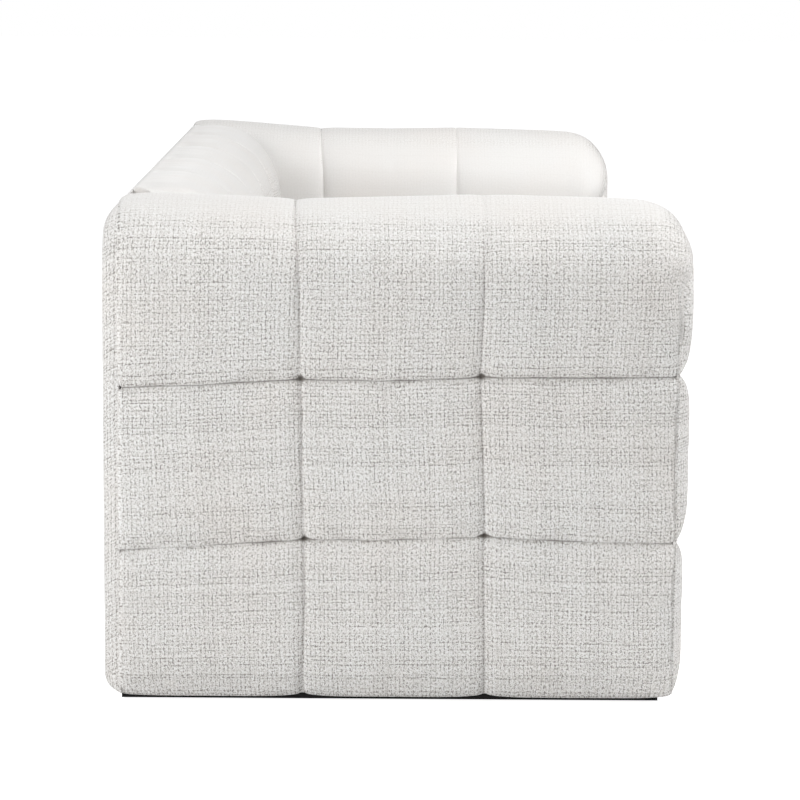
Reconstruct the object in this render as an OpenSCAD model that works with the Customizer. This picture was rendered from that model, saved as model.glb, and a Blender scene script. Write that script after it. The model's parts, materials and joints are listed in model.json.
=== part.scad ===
// Tuxedo sofa: arms as high as the back, wrapped in square pillow tufting,
// with a lift-out bench cushion over a sprung seat on a low black plinth.
// Millimetres. +Z is up, X runs along the sofa, the front faces -Y,
// and the origin is on the floor under the middle of the sofa.

/* [Overall size] */
// Length over both arms, at the fullest point of their pillows
overall_l = 1900; // [1700:10:2300]
// Depth from the outside back to the fullest front pillow
overall_d = 850; // [820:5:940]
// Height of the arms and back above the floor
overall_h = 730; // [700:5:780]

/* [Arms and back] */
// Thickness of an arm over its pillows
arm_t = 262; // [250:2:300]
// Radius of the rolled top of an arm
arm_roll_r = 105; // [95:1:110]
// Radius of the top front corner of an arm
front_corner_r = 90; // [70:1:100]
// Radius of the top rear corner of arms and back
rear_corner_r = 55; // [45:1:60]
// Thickness of the back where its rolled top begins
back_top_t = 200; // [196:1:215]
// Thickness of the back at its foot
back_foot_t = 235; // [225:1:245]
// How far the rolled top of the back runs rearwards
back_roll_run = 105; // [90:1:112]
// How far the rolled top of the back drops
back_roll_drop = 130; // [115:1:140]
// Thickness of the padded outside back
rear_panel_t = 26; // [22:1:30]
// Roll of the outside back round its upright edges
rear_edge_r = 22; // [12:1:22]

/* [Tufting] */
// Height of a pillow above its seams
crown = 12; // [8:0.5:14]
// Height of the top pillow on the front of an arm
front_crown_top = 25; // [18:1:28]
// Height of the middle pillow on the front of an arm
front_crown_middle = 22; // [14:1:25]
// Height of the lowest pillow on the front of an arm
front_crown_low = 17; // [10:1:20]
// Height of the lowest row of pillows
low_row_h = 232; // [215:1:240]
// Height of the middle row of pillows
middle_row_h = 231; // [220:1:245]
// Width of the rear column of pillows on an arm
rear_column_w = 259; // [240:1:280]
// Width of the middle column of pillows on an arm
middle_column_w = 265; // [250:1:280]
// Columns of pillows between the arms
seat_columns = 5; // [4:1:6]
// How far the fabric is drawn in along its lower edge
tuck = 10; // [6:0.5:12]
// Height over which the fabric draws in to its lower edge
tuck_h = 40; // [30:1:60]
// Thickness of fabric and fibre at a seam
cover_wall = 15; // [13:0.5:16]

/* [Seat] */
// Thickness of the seat cushion over its pillows
cushion_t = 195; // [190:1:215]
// Extra rise of the cushion's middle over its edge
cushion_dome = 10; // [4:1:14]
// How far the cushion's ends are drawn in between the corners
cushion_draw = 6; // [2:0.5:8]
// Space between the cushion and each arm
cushion_side_gap = 3; // [2:0.5:6]
// Space between the cushion and the back
cushion_rear_gap = 6; // [5:0.5:10]
// How far the seat front stands behind the arm fronts
seat_setback = 8; // [4:1:20]
// Thickness of the fabric border on the front rail
rail_cover_t = 15; // [12:1:18]
// Thickness of the deck pad
deck_pad_t = 15; // [10:1:20]
// Thickness of the deck cloth
deck_cloth_t = 1.5; // [1:0.1:2]
// Thickness of the felt insulator over the springs
insulator_t = 3; // [2:0.5:4]

/* [Springs] */
// Number of sinuous springs
spring_count = 9; // [7:1:11]
// Distance between neighbouring runs of a spring
spring_pitch = 30; // [26:1:34]
// Width of a spring
spring_w = 52; // [46:1:60]
// Thickness of the spring wire
wire_d = 3.8; // [3:0.1:4.4]
// Size of a spring clip along the rail
clip_w = 20; // [14:1:20]
// Size of a spring clip across the rail
clip_d = 16; // [12:1:18]
// Height of a spring clip
clip_h = 8; // [7:0.5:10]
// Diameter of the wires that tie the springs together
tie_wire_d = 3; // [2:0.1:3.5]

/* [Frame] */
// Thickness of the hardwood boards
board_t = 25; // [20:1:28]
// Thickness of the plywood arm panels
panel_t = 12; // [9:0.5:15]
// Padding over the top rail of the back, up to the top of the pillows
back_top_padding = 80; // [75:1:100]
// Padding over an arm frame, up to the top of the pillows
arm_top_padding = 88; // [80:1:120]
// Height of the seat stretchers
stretcher_h = 90; // [60:1:110]
// Leg length of the triangular corner blocks
corner_block_leg = 70; // [50:1:90]
// Height of the corner blocks
corner_block_h = 60; // [40:1:80]
// Width of the webbing straps in the back
strap_w = 50; // [40:1:60]
// Thickness of the webbing straps
strap_t = 2; // [1.5:0.1:3]

/* [Foam] */
// Thickness of the foam on the sides and front of an arm
arm_foam_t = 24; // [20:1:28]
// Thickness of the foam on the back's face
back_foam_t = 40; // [30:1:45]
// Thickness of the foam on the front rail
rail_foam_t = 20; // [15:1:25]

/* [Base] */
// Height of the black plinth
plinth_h = 10; // [8:0.5:20]
// Width of a plinth rail
plinth_w = 70; // [60:1:90]
// How far the plinth stands inside the fabric at the sides and front
plinth_setback = 7; // [4:0.5:12]
// How far the plinth stands inside the outside back
plinth_rear_setback = 15; // [10:1:20]
// Height of the floor glides
glide_h = 2.5; // [2:0.5:5]
// Diameter of the floor glides
glide_d = 24; // [18:1:40]
// Thickness of the dust cover
dust_cover_t = 0.8; // [0.6:0.1:1.5]

/* [Fasteners] */
// Diameter of the arm bolts
bolt_d = 8; // [6:1:8]
// Width of a bolt head
bolt_head_d = 16; // [15:1:20]
// Height of a bolt head
bolt_head_h = 5; // [4:0.5:6]
// How far a bolt reaches past the arm panel
bolt_reach = 8; // [4:0.5:12]
// Height of the arm bolts above the floor
bolt_z = 110; // [90:1:140]
// Diameter of a tee nut's barrel
tee_barrel_d = 11; // [10.5:0.5:13]
// Diameter of a tee nut's flange
tee_flange_d = 22; // [18:1:26]
// Thickness of a tee nut's flange
tee_flange_t = 1.5; // [1:0.1:2]
// Diameter of the tufting twine
twine_d = 2; // [1.5:0.1:3]
// Width of the cushion's zip
zip_w = 24; // [18:1:30]
// Thickness of the cushion's zip
zip_t = 2; // [1.5:0.1:3]

/* [Hidden] */

// Clearances: between fitted pieces, round a bolt, and one overrun for every cut
fit = 0.3;
bolt_play = 0.5;
over = 2;

// Smoothness of round parts
round_fn = 48;

// Heights
base_z = glide_h + plinth_h;
low_seam_z = base_z + low_row_h;
high_seam_z = low_seam_z + middle_row_h;
seam_top_z = overall_h - crown;
back_frame_h = overall_h - back_top_padding;
arm_frame_h = overall_h - arm_top_padding;
deck_z = low_seam_z;
pad_z = deck_z - deck_cloth_t;
felt_z = pad_z - deck_pad_t;
rail_top_z = felt_z - insulator_t - clip_h;

// Places along the depth
rear_y = overall_d / 2;
frame_rear_y = rear_y - rear_panel_t - fit;
arm_front_y = -overall_d / 2 + front_crown_top;
arm_seam_rear_y = rear_y - rear_panel_t - rear_column_w;
arm_seam_front_y = arm_seam_rear_y - middle_column_w;
seat_front_y = -overall_d / 2 + seat_setback;

// Places along the length
arm_x = overall_l / 2 - arm_t / 2;
arm_half = arm_t / 2 - crown;
lining_x = arm_x - arm_half - fit;
clear_half = arm_x - arm_t / 2;

// The back's face leans: its place at the foot and where its roll begins
back_foot_y = rear_y - back_foot_t + crown;
back_roll_y = rear_y - back_top_t + crown;
back_roll_z = seam_top_z - back_roll_drop;
function back_face_y(z) =
  back_foot_y + (back_roll_y - back_foot_y) * (z - base_z) / (back_roll_z - base_z);

// Room inside the covers, and the frames that the foam leaves room for
arm_room_half = arm_half - cover_wall;
arm_frame_half = arm_room_half - arm_foam_t - 2 * fit;
arm_post_half = arm_frame_half - panel_t;
arm_room_front_y = arm_front_y + cover_wall;
arm_frame_front_y = arm_room_front_y + arm_foam_t + 2 * fit;
arm_frame_rear_y = frame_rear_y - cover_wall - fit;
back_half = clear_half - fit;
back_room_half = back_half - cover_wall;
back_frame_half = back_room_half - fit;
function back_frame_y(z) = back_face_y(z) + cover_wall + back_foam_t + strap_t + 2 * fit;

// Seat frame, between the arm linings
rail_cover_front_y = seat_front_y + crown;
rail_cover_rear_y = rail_cover_front_y + rail_cover_t;
rail_foam_y = rail_cover_rear_y + fit;
front_rail_y = rail_foam_y + rail_foam_t + fit;
rear_rail_y = back_foot_y - fit - board_t;
rail_half = lining_x - board_t;

// Seat cushion
cushion_z = deck_z + fit;
cushion_half = clear_half - cushion_side_gap;
cushion_end = cushion_half - crown + cushion_draw;
cushion_rear_y = back_face_y(deck_z) - crown - cushion_rear_gap;
cushion_seam_top_z = cushion_z + cushion_t - crown - cushion_dome;

// Plinth ring
plinth_x = arm_x + arm_half - tuck - plinth_setback;
plinth_front_y = arm_front_y + tuck + plinth_setback;
plinth_rear_y = rear_y - tuck - plinth_rear_setback;

// Pillows. Swell is a unit shape: none at a seam and full over the broad middle of a pillow.
swell_power = 6;
cell_share = [0, 0.06, 0.2, 0.8, 0.94];
fade_share = 0.1;
rise_share = [0, 0.06, 0.2];
roll_angles = [0, 22, 44, 62, 78, 90];
full_swell = 1 - pow(1 - 2 * cell_share[2], swell_power);
function swell(share) = (1 - pow(abs(2 * share - 1), swell_power)) / full_swell;

// Grid lines along a run of seams, each as its place and its swell
function stations(seams) = concat(
  [for (i = [0 : len(seams) - 2]) for (share = cell_share)
    [seams[i] + share * (seams[i + 1] - seams[i]), swell(share)]],
  [[seams[len(seams) - 1], 0]]);

// Grid lines inside the thickness, each as its share, its swell and its lift under the top
across_one = [for (i = [1 : len(cell_share) - 1]) [cell_share[i], swell(cell_share[i]), 1]];

// Heights of one row of pillows, each as its height, its swell and its row
function row_levels(low, high, row, shares = cell_share) =
  [for (share = shares) [low + share * (high - low), swell(share), row]];

// Heights over a rolled top
function roll_levels(drop, row) =
  [for (a = roll_angles) [seam_top_z - drop * (1 - sin(a)), 1, row]];

// How far a rolled edge has turned at a height, from 0 upright to 1 level
function turn_share(z, top, drop) = drop > 0 ? max(0, min(1, (z - top + drop) / drop)) : 0;
function roll_in(z, top, drop, run) = run * (1 - sqrt(1 - pow(turn_share(z, top, drop), 2)));
function rear_edge_y(z) = min(frame_rear_y, rear_y - roll_in(z, seam_top_z, rear_corner_r, rear_corner_r));
function tuck_in(z) = tuck * pow(max(0, 1 - (z - base_z) / tuck_h), 2);

// A pillow's outward and upward lift where its face has turned over
function lift(height, z, top, drop) =
  let (up = turn_share(z, top, drop)) [height * sqrt(1 - up * up), height * up];

// One level of a tufted block: [height, side a, side b, low end, high end, lift of a, lift of b,
// outward lifts of the two ends, how far each end has turned over]
function level(z, a, b, low, high, lift_a, lift_b, out_low = 0, out_high = 0, turn_low = 0, turn_high = 0) =
  [z, a, b, low, high, lift_a, lift_b, out_low, out_high, turn_low, turn_high];

// A grid line's swell: the seam at either end of a block fades where that end rolls over
function line_swell(s, lv, low, high) =
  s[0] - low < fade_share * (high - low) ? max(s[1], lv[9])
  : high - s[0] < fade_share * (high - low) ? max(s[1], lv[10])
  : s[1];

// Keeps the seams upright where the end of a block rolls in
function place_along(u, lv, first, last, low, high) =
  u < first ? first - (first - u) * (first - lv[3]) / (first - low)
  : u > last ? last + (u - last) * (lv[4] - last) / (high - last)
  : u;

function ring_points(lv, along, across, first, last, low, high) = concat(
  [for (s = along) let (f = line_swell(s, lv, low, high))
    [place_along(s[0], lv, first, last, low, high), lv[1] + lv[5][0] * f, lv[0] + lv[5][1] * f]],
  [for (c = across)
    [lv[4] + lv[8] * c[1], lv[1] + c[0] * (lv[2] - lv[1]), lv[0] + lv[5][1] * lv[10]]],
  [for (i = [len(along) - 1 : -1 : 0]) let (s = along[i], f = line_swell(s, lv, low, high))
    [place_along(s[0], lv, first, last, low, high), lv[2] - lv[6][0] * f, lv[0] + lv[6][1] * f]],
  [for (i = [len(across) - 1 : -1 : 0]) let (c = across[i])
    [lv[3] - lv[7] * c[1], lv[1] + c[0] * (lv[2] - lv[1]), lv[0] + lv[5][1] * lv[9]]]);

// A closed block whose four upright faces and top carry pillows, built as rings of points.
// along: grid lines along the block. across: grid lines through its thickness.
// top_crown lifts the pillows of the top, and dome lifts its whole middle.
module tufted_block(levels, along, across, first, last, top_crown, dome = 0) {
  low = along[0][0];
  high = along[len(along) - 1][0];
  nu = len(along);
  na = len(across);
  ring = 2 * nu + 2 * na;
  rings = len(levels);
  top = levels[rings - 1];
  foot = levels[0];
  function middle_point(lv, i, c, raise) =
    [place_along(along[i][0], lv, first, last, low, high), lv[1] + c[0] * (lv[2] - lv[1]), lv[0] + raise];
  function dome_at(i, c) =
    let (share = (along[i][0] - low) / (high - low)) dome * 16 * share * (1 - share) * c[0] * (1 - c[0]);
  points = concat(
    [for (lv = levels) for (p = ring_points(lv, along, across, first, last, low, high)) p],
    [for (i = [1 : nu - 2]) for (c = across) middle_point(foot, i, c, 0)],
    [for (i = [1 : nu - 2]) for (c = across)
      middle_point(top, i, c, top_crown * line_swell(along[i], top, low, high) * c[2] + dome_at(i, c))]);
  middle_start = rings * ring;
  middle_count = (nu - 2) * na;
  // Index of a cap's grid point: on the ring at its border, else among the middle points
  function cap_index(i, j, ring_start, middles) =
    j == 0 ? ring_start + i
    : j == na + 1 ? ring_start + nu + na + (nu - 1 - i)
    : i == nu - 1 ? ring_start + nu + j - 1
    : i == 0 ? ring_start + 2 * nu + na + (na - j)
    : middles + (i - 1) * na + j - 1;
  walls = [for (k = [0 : rings - 2]) for (i = [0 : ring - 1])
    let (p = k * ring + i, q = k * ring + (i + 1) % ring) each [[p, q, q + ring], [p, q + ring, p + ring]]];
  top_start = (rings - 1) * ring;
  top_middles = middle_start + middle_count;
  caps = [for (i = [0 : nu - 2]) for (j = [0 : na])
    let (
      a = cap_index(i, j, top_start, top_middles),
      b = cap_index(i + 1, j, top_start, top_middles),
      c = cap_index(i + 1, j + 1, top_start, top_middles),
      d = cap_index(i, j + 1, top_start, top_middles),
      e = cap_index(i, j, 0, middle_start),
      f = cap_index(i + 1, j, 0, middle_start),
      g = cap_index(i + 1, j + 1, 0, middle_start),
      h = cap_index(i, j + 1, 0, middle_start)
    ) each [[a, b, c], [a, c, d], [e, g, f], [e, h, g]]];
  polyhedron(points = points, faces = concat(walls, caps));
}

// Seam places along the seat, in line on every piece between the arms, with its ends at half
function seat_seams(half) = [for (i = [0 : seat_columns])
  i == 0 ? -half : i == seat_columns ? half : clear_half * (2 * i / seat_columns - 1)];

// Puts an arm's own frame, with u rearwards and w outwards, at the left or right end
module at_left_arm() {
  translate([-arm_x, 0, 0]) rotate([0, 0, 90]) children();
}
module at_right_arm() {
  mirror([1, 0, 0]) at_left_arm() children();
}

// Arm covers

front_crowns = [front_crown_low, front_crown_middle, front_crown_top];
arm_levels = concat(
  row_levels(base_z, low_seam_z, 0),
  row_levels(low_seam_z, high_seam_z, 1),
  row_levels(high_seam_z, seam_top_z, 2, rise_share),
  roll_levels(arm_roll_r, 2));

// The arm's shape at its seams: a long block rolled over its top, front corner and rear corner,
// drawn inwards by inset
module arm_room(inset, foot_z) {
  half = arm_half - inset;
  top = seam_top_z - inset;
  front = arm_front_y + inset;
  rear = frame_rear_y - inset;
  side_r = arm_roll_r - inset;
  front_r = front_corner_r - inset;
  rear_r = rear_corner_r - inset;
  rear_corner_y = rear_y - rear_corner_r;
  intersection() {
    translate([0, 0, foot_z])
      translate([front, 0, 0])
        rotate([90, 0, 90])
          linear_extrude(height = rear - front) {
            translate([-half, 0])
              square([2 * half, top - foot_z - side_r]);
            translate([side_r - half, 0])
              square([2 * (half - side_r), top - foot_z]);
            for (side = [-1, 1])
              translate([side * (half - side_r), top - foot_z - side_r])
                circle(r = side_r, $fn = round_fn);
          }
    translate([0, half + over, foot_z])
      rotate([90, 0, 0])
        linear_extrude(height = 2 * (half + over)) {
          translate([front, 0])
            square([rear - front, top - foot_z - front_r]);
          translate([front + front_r, 0])
            square([rear_corner_y - front - front_r, top - foot_z]);
          translate([rear_corner_y - over, 0])
            square([rear_r + over, top - foot_z - rear_r]);
          translate([front + front_r, top - foot_z - front_r])
            circle(r = front_r, $fn = round_fn);
          translate([rear_corner_y, top - foot_z - rear_r])
            circle(r = rear_r, $fn = round_fn);
        }
  }
}

// Bolt axes in the arm's own frame, and what passes along them
bolt_share = [0.2, 0.5, 0.8];
bolt_span = rear_rail_y - front_rail_y - board_t;
bolt_rows = [for (share = bolt_share) front_rail_y + board_t + share * bolt_span];
module along_bolts(from_w, length, r) {
  for (y = bolt_rows)
    translate([y, from_w, bolt_z]) rotate([-90, 0, 0]) cylinder(h = length, r = r, $fn = round_fn);
}

// Crossings of the seams, where twine pulls the cover in
arm_outer_ties = [
  for (y = [arm_seam_rear_y, arm_seam_front_y]) for (z = [low_seam_z, high_seam_z]) [y, z]];
arm_inner_ties = [for (y = [arm_seam_rear_y, arm_seam_front_y]) [y, high_seam_z]];
module along_ties(r, extra) {
  span = arm_foam_t + 2 * fit + 2 * extra;
  for (t = arm_outer_ties)
    translate([t[0], arm_frame_half - extra, t[1]])
      rotate([-90, 0, 0]) cylinder(h = span, r = r, $fn = round_fn);
  for (t = arm_inner_ties)
    translate([t[0], -arm_frame_half + extra, t[1]])
      rotate([90, 0, 0]) cylinder(h = span, r = r, $fn = round_fn);
}

module arm_cover() {
  along = stations([arm_front_y, arm_seam_front_y, arm_seam_rear_y, frame_rear_y]);
  levels = [for (lv = arm_levels)
    let (
      z = lv[0],
      side = arm_half - roll_in(z, seam_top_z, arm_roll_r, arm_roll_r) - tuck_in(z),
      front = arm_front_y + roll_in(z, seam_top_z, front_corner_r, front_corner_r) + tuck_in(z),
      rear = rear_edge_y(z),
      front_turn = turn_share(z, seam_top_z, front_corner_r),
      inner_crown = lv[2] == 0 ? 0 : crown
    )
    level(z, side, lv[2] == 0 ? -arm_half : -side, front, rear,
      lift(crown * lv[1], z, seam_top_z, arm_roll_r),
      lift(inner_crown * lv[1], z, seam_top_z, arm_roll_r),
      front_crowns[lv[2]] * lv[1] * (1 - pow(front_turn, 2)), 0,
      front_turn, turn_share(z, seam_top_z, rear_corner_r))];
  difference() {
    tufted_block(levels, along, across_one, arm_seam_front_y, arm_seam_rear_y, crown);
    arm_room(cover_wall, base_z - over);
    along_bolts(-arm_half - over, cover_wall + 2 * over, bolt_d / 2 + bolt_play);
  }
}

module arm_foam() {
  difference() {
    arm_room(cover_wall + fit, base_z);
    translate([arm_frame_front_y - fit, -arm_frame_half - fit, base_z - over])
      cube([overall_d, 2 * (arm_frame_half + fit), arm_frame_h + fit - base_z + over]);
    along_bolts(-arm_half, cover_wall + arm_foam_t + over, bolt_d / 2 + bolt_play);
    along_ties(twine_d / 2 + fit, over);
  }
}

module arm_twine() {
  along_ties(twine_d / 2, 0);
}

// Arm frames: two plywood panels over two posts, a top rail and a base rail

rear_post_y = arm_frame_rear_y - board_t;
arm_top_rail_z = arm_frame_h - board_t;

module arm_panel(inner) {
  difference() {
    translate([arm_frame_front_y, inner ? -arm_frame_half : arm_post_half, base_z])
      cube([arm_frame_rear_y - arm_frame_front_y, panel_t, arm_frame_h - base_z]);
    if (inner) along_bolts(-arm_frame_half - over, panel_t + 2 * over, tee_barrel_d / 2 + fit / 2);
  }
}

module arm_post(y) {
  translate([y, -arm_post_half, base_z])
    cube([board_t, 2 * arm_post_half, arm_frame_h - base_z]);
}

module arm_rail(z) {
  translate([arm_frame_front_y + board_t, -arm_post_half, z])
    cube([arm_frame_rear_y - arm_frame_front_y - 2 * board_t, 2 * arm_post_half, board_t]);
}

// Back

module back_cover() {
  along = stations(seat_seams(back_half));
  rows = concat(
    [[base_z, 0, 0], [base_z + tuck_h, 0, 0]],
    row_levels(low_seam_z, high_seam_z, 1),
    row_levels(high_seam_z, seam_top_z, 2, rise_share),
    roll_levels(back_roll_drop, 2));
  levels = [for (lv = rows)
    let (
      z = lv[0],
      face = -back_face_y(min(z, back_roll_z)) - roll_in(z, seam_top_z, back_roll_drop, back_roll_run),
      face_b = -rear_edge_y(z)
    )
    level(z, face, face_b, -back_half, back_half,
      lift(crown * lv[1], z, seam_top_z, back_roll_drop),
      z < seam_top_z ? [0, 0] : [0, crown])];
  seams = seat_seams(back_half);
  difference() {
    rotate([0, 0, 180])
      tufted_block(levels, along, [], seams[1], seams[seat_columns - 1], crown);
    along_back(back_room_half) back_room(cover_wall);
    along_back(back_room_half) back_opening(0);
  }
}

// Carries a profile, drawn with Y across and Z up, along the back
module along_back(half) {
  translate([-half, 0, 0]) rotate([90, 0, 90]) linear_extrude(height = 2 * half) children();
}

// Profile of the room inside the back's cover, drawn inwards by inset
module back_room(inset) {
  roll_r = back_roll_run - inset;
  rear_r = rear_corner_r - inset;
  top = seam_top_z - inset;
  roll_z = top - roll_r;
  rear = frame_rear_y - inset;
  rear_corner_y = rear_y - rear_corner_r;
  roll_y = back_face_y(roll_z) + inset + roll_r;
  intersection() {
    translate([0, base_z - over]) square([rear, overall_h]);
    union() {
      polygon([
        [back_face_y(base_z - over) + inset, base_z - over],
        [back_face_y(roll_z) + inset, roll_z],
        [roll_y, roll_z],
        [roll_y, top],
        [rear_corner_y, top],
        [rear_corner_y, top - rear_r],
        [rear_corner_y + rear_r, top - rear_r],
        [rear_corner_y + rear_r, base_z - over]]);
      intersection() {
        translate([roll_y, roll_z]) circle(r = roll_r, $fn = round_fn);
        translate([roll_y - roll_r, roll_z - over]) square([roll_r + over, roll_r + over]);
      }
      translate([rear_corner_y, top - rear_r]) circle(r = rear_r, $fn = round_fn);
    }
  }
}

// Profile of the rear opening that the frame stands in, drawn inwards by inset
module back_opening(inset) {
  z = back_frame_h + fit - inset;
  polygon([
    [back_frame_y(base_z - over) - fit - strap_t, base_z - over],
    [back_frame_y(z) - fit - strap_t, z],
    [frame_rear_y + over, z],
    [frame_rear_y + over, base_z - over]]);
}

module back_foam() {
  difference() {
    along_back(back_frame_half)
      intersection() {
        back_room(cover_wall + fit);
        translate([0, base_z]) square([overall_d, overall_h]);
      }
    along_back(back_frame_half + over) back_opening(0);
    along_back_ties(twine_d / 2 + fit, over);
  }
}

back_tie_x = [for (i = [1 : seat_columns - 1]) seat_seams(back_half)[i]];
module along_back_ties(r, extra) {
  from_y = back_face_y(high_seam_z) + cover_wall + fit;
  for (x = back_tie_x)
    translate([x, from_y - extra, high_seam_z])
      rotate([-90, 0, 0]) cylinder(h = back_foam_t + 2 * extra, r = r, $fn = round_fn);
}

// Profile of an upright of the back: its front edge leans as the back does
module back_upright() {
  low = base_z + board_t;
  high = back_frame_h - board_t;
  polygon([
    [back_frame_y(low), low], [back_frame_y(high), high],
    [frame_rear_y, high], [frame_rear_y, low]]);
}

module back_board(z) {
  translate([-back_frame_half, back_frame_y(z + board_t), z])
    cube([2 * back_frame_half, frame_rear_y - back_frame_y(z + board_t), board_t]);
}

module back_end_posts() {
  for (side = [0, 1])
    translate([side * (2 * back_frame_half - board_t) - back_frame_half, 0, 0])
      rotate([90, 0, 90]) linear_extrude(height = board_t) back_upright();
}

stile_share = [0.25, 0.5, 0.75];
module back_stiles() {
  for (share = stile_share)
    translate([(2 * share - 1) * back_frame_half - board_t / 2, 0, 0])
      rotate([90, 0, 90]) linear_extrude(height = board_t) back_upright();
}

// Straps across the uprights: one behind the tufted seam, the others spaced above and below it
strap_step = 110;
module back_webbing() {
  for (i = [-2 : 1])
    along_back(back_frame_half) {
      low = high_seam_z + i * strap_step - strap_w / 2;
      high = low + strap_w;
      polygon([
        [back_frame_y(low) - strap_t, low], [back_frame_y(high) - strap_t, high],
        [back_frame_y(high), high], [back_frame_y(low), low]]);
    }
}

// Outside back: one padded panel behind the arms and the back

module outside_back_panel() {
  low = base_z;
  intersection() {
    // Plan: the rear edges are rolled
    translate([0, 0, low])
      linear_extrude(height = overall_h - low)
        intersection() {
          translate([-overall_l / 2, rear_y - rear_panel_t]) square([overall_l, rear_panel_t]);
          union() {
            translate([-overall_l / 2 + crown + rear_edge_r, rear_y - rear_panel_t])
              square([overall_l - 2 * crown - 2 * rear_edge_r, rear_panel_t]);
            translate([-overall_l / 2 + crown, rear_y - rear_panel_t])
              square([overall_l - 2 * crown, rear_panel_t - rear_edge_r]);
            for (side = [-1, 1])
              translate([side * (overall_l / 2 - crown - rear_edge_r), rear_y - rear_edge_r])
                circle(r = rear_edge_r, $fn = round_fn);
          }
        }
    // Side: the top edge follows the rear corner, and the lower edge is drawn in
    translate([-overall_l / 2, 0, 0])
      rotate([90, 0, 90])
        linear_extrude(height = overall_l) {
          translate([rear_y - rear_corner_r, overall_h - rear_corner_r])
            circle(r = rear_corner_r, $fn = round_fn);
          translate([rear_y - rear_corner_r, low + tuck])
            square([rear_corner_r, overall_h - rear_corner_r - low - tuck]);
          translate([rear_y - rear_corner_r, low])
            square([rear_corner_r - tuck, overall_h - rear_corner_r - low]);
          translate([rear_y - tuck, low + tuck]) circle(r = tuck, $fn = round_fn);
        }
    // Back view: the top corners follow the rolled arms
    translate([0, rear_y + over, 0])
      rotate([90, 0, 0])
        linear_extrude(height = rear_panel_t + 2 * over) {
          translate([-overall_l / 2 + crown, low])
            square([overall_l - 2 * crown, overall_h - arm_roll_r - low]);
          translate([-overall_l / 2 + crown + arm_roll_r, low])
            square([overall_l - 2 * (crown + arm_roll_r), overall_h - low]);
          for (side = [-1, 1])
            translate([side * (overall_l / 2 - crown - arm_roll_r), overall_h - arm_roll_r])
              circle(r = arm_roll_r, $fn = round_fn);
        }
  }
}

// Front rail

module front_rail_cover() {
  seams = seat_seams(lining_x);
  rows = concat(row_levels(base_z, deck_z, 0), [[deck_z, 0, 0]]);
  levels = [for (lv = rows)
    level(lv[0], -rail_cover_front_y - tuck_in(lv[0]), -rail_cover_rear_y, -lining_x, lining_x,
      [crown * lv[1], 0], [0, 0])];
  rotate([0, 0, 180])
    tufted_block(levels, stations(seams), [], seams[1], seams[seat_columns - 1], 0);
}

module front_rail_foam() {
  translate([-lining_x, rail_foam_y, base_z])
    cube([2 * lining_x, rail_foam_t, felt_z - insulator_t - base_z]);
}

// Seat frame

module seat_cross_rail(y) {
  translate([-rail_half, y, base_z]) cube([2 * rail_half, board_t, rail_top_z - base_z]);
}

module side_rail_bores() {
  along_bolts(-arm_half - fit - board_t - over, board_t + 2 * over, bolt_d / 2 + bolt_play);
}

module seat_side_rails() {
  for (side = [-1, 1])
    difference() {
      translate([side * (lining_x - board_t / 2) - board_t / 2, front_rail_y, base_z])
        cube([board_t, rear_rail_y + board_t - front_rail_y, rail_top_z - base_z]);
      at_left_arm() side_rail_bores();
      at_right_arm() side_rail_bores();
    }
}

module seat_stretchers() {
  for (side = [-1, 1])
    translate([side * rail_half / 3 - board_t / 2, front_rail_y + board_t, base_z])
      cube([board_t, rear_rail_y - front_rail_y - board_t, stretcher_h]);
}

module corner_blocks() {
  for (side = [-1, 1])
    for (rear = [0, 1])
      translate([side * rail_half, rear ? rear_rail_y : front_rail_y + board_t, base_z])
        mirror([side > 0 ? 1 : 0, 0, 0])
          mirror([0, rear, 0])
            linear_extrude(height = corner_block_h)
              polygon([[0, 0], [corner_block_leg, 0], [0, corner_block_leg]]);
}

// Springs: runs across, joined by half turns on alternate sides, from clip to clip

spring_z = rail_top_z + (clip_h - wire_d) / 2;
spring_from_y = front_rail_y + board_t / 2;
spring_span = rear_rail_y - front_rail_y;
spring_turns = floor(spring_span / spring_pitch);
spring_step = spring_span / spring_turns;
spring_x = [for (i = [0 : spring_count - 1])
  -rail_half + (i + 1 / 2) * 2 * rail_half / spring_count];

module half_turn(side) {
  turn_r = spring_step / 2;
  outer_r = turn_r + wire_d / 2;
  intersection() {
    difference() {
      circle(r = outer_r, $fn = round_fn);
      circle(r = turn_r - wire_d / 2, $fn = round_fn);
    }
    translate([side > 0 ? 0 : -2 * outer_r, -outer_r]) square([2 * outer_r, 2 * outer_r]);
  }
}

module spring() {
  run = spring_w - spring_step;
  linear_extrude(height = wire_d) {
    for (i = [0 : spring_turns])
      translate([-run / 2 - wire_d / 2, i * spring_step - wire_d / 2]) square([run + wire_d, wire_d]);
    for (i = [0 : spring_turns - 1])
      translate([(i % 2 == 0 ? 1 : -1) * run / 2, (i + 1 / 2) * spring_step])
        half_turn(i % 2 == 0 ? 1 : -1);
  }
}

module seat_springs() {
  for (x = spring_x) translate([x, spring_from_y, spring_z]) spring();
}

module spring_clips() {
  for (x = spring_x)
    for (end = [0, 1])
      translate([x - clip_w / 2, spring_from_y + end * spring_span - clip_d / 2, rail_top_z])
        difference() {
          cube([clip_w, clip_d, clip_h]);
          translate([-over, (clip_d - wire_d) / 2 - fit, (clip_h - wire_d) / 2 - fit])
            cube([clip_w + 2 * over, wire_d + 2 * fit, wire_d + 2 * fit]);
        }
}

tie_share = [0.35, 0.65];
module spring_tie_wires() {
  for (share = tie_share)
    translate([-rail_half + fit, spring_from_y + share * spring_span, spring_z - fit - tie_wire_d / 2])
      rotate([0, 90, 0]) cylinder(h = 2 * (rail_half - fit), r = tie_wire_d / 2, $fn = round_fn);
}

// Sheets of the seat deck, each laid on the one below
module deck_sheet(top, thickness) {
  translate([-lining_x, rail_foam_y, top - thickness])
    cube([2 * lining_x, rear_rail_y + board_t - rail_foam_y, thickness]);
}

// Seat cushion

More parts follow.
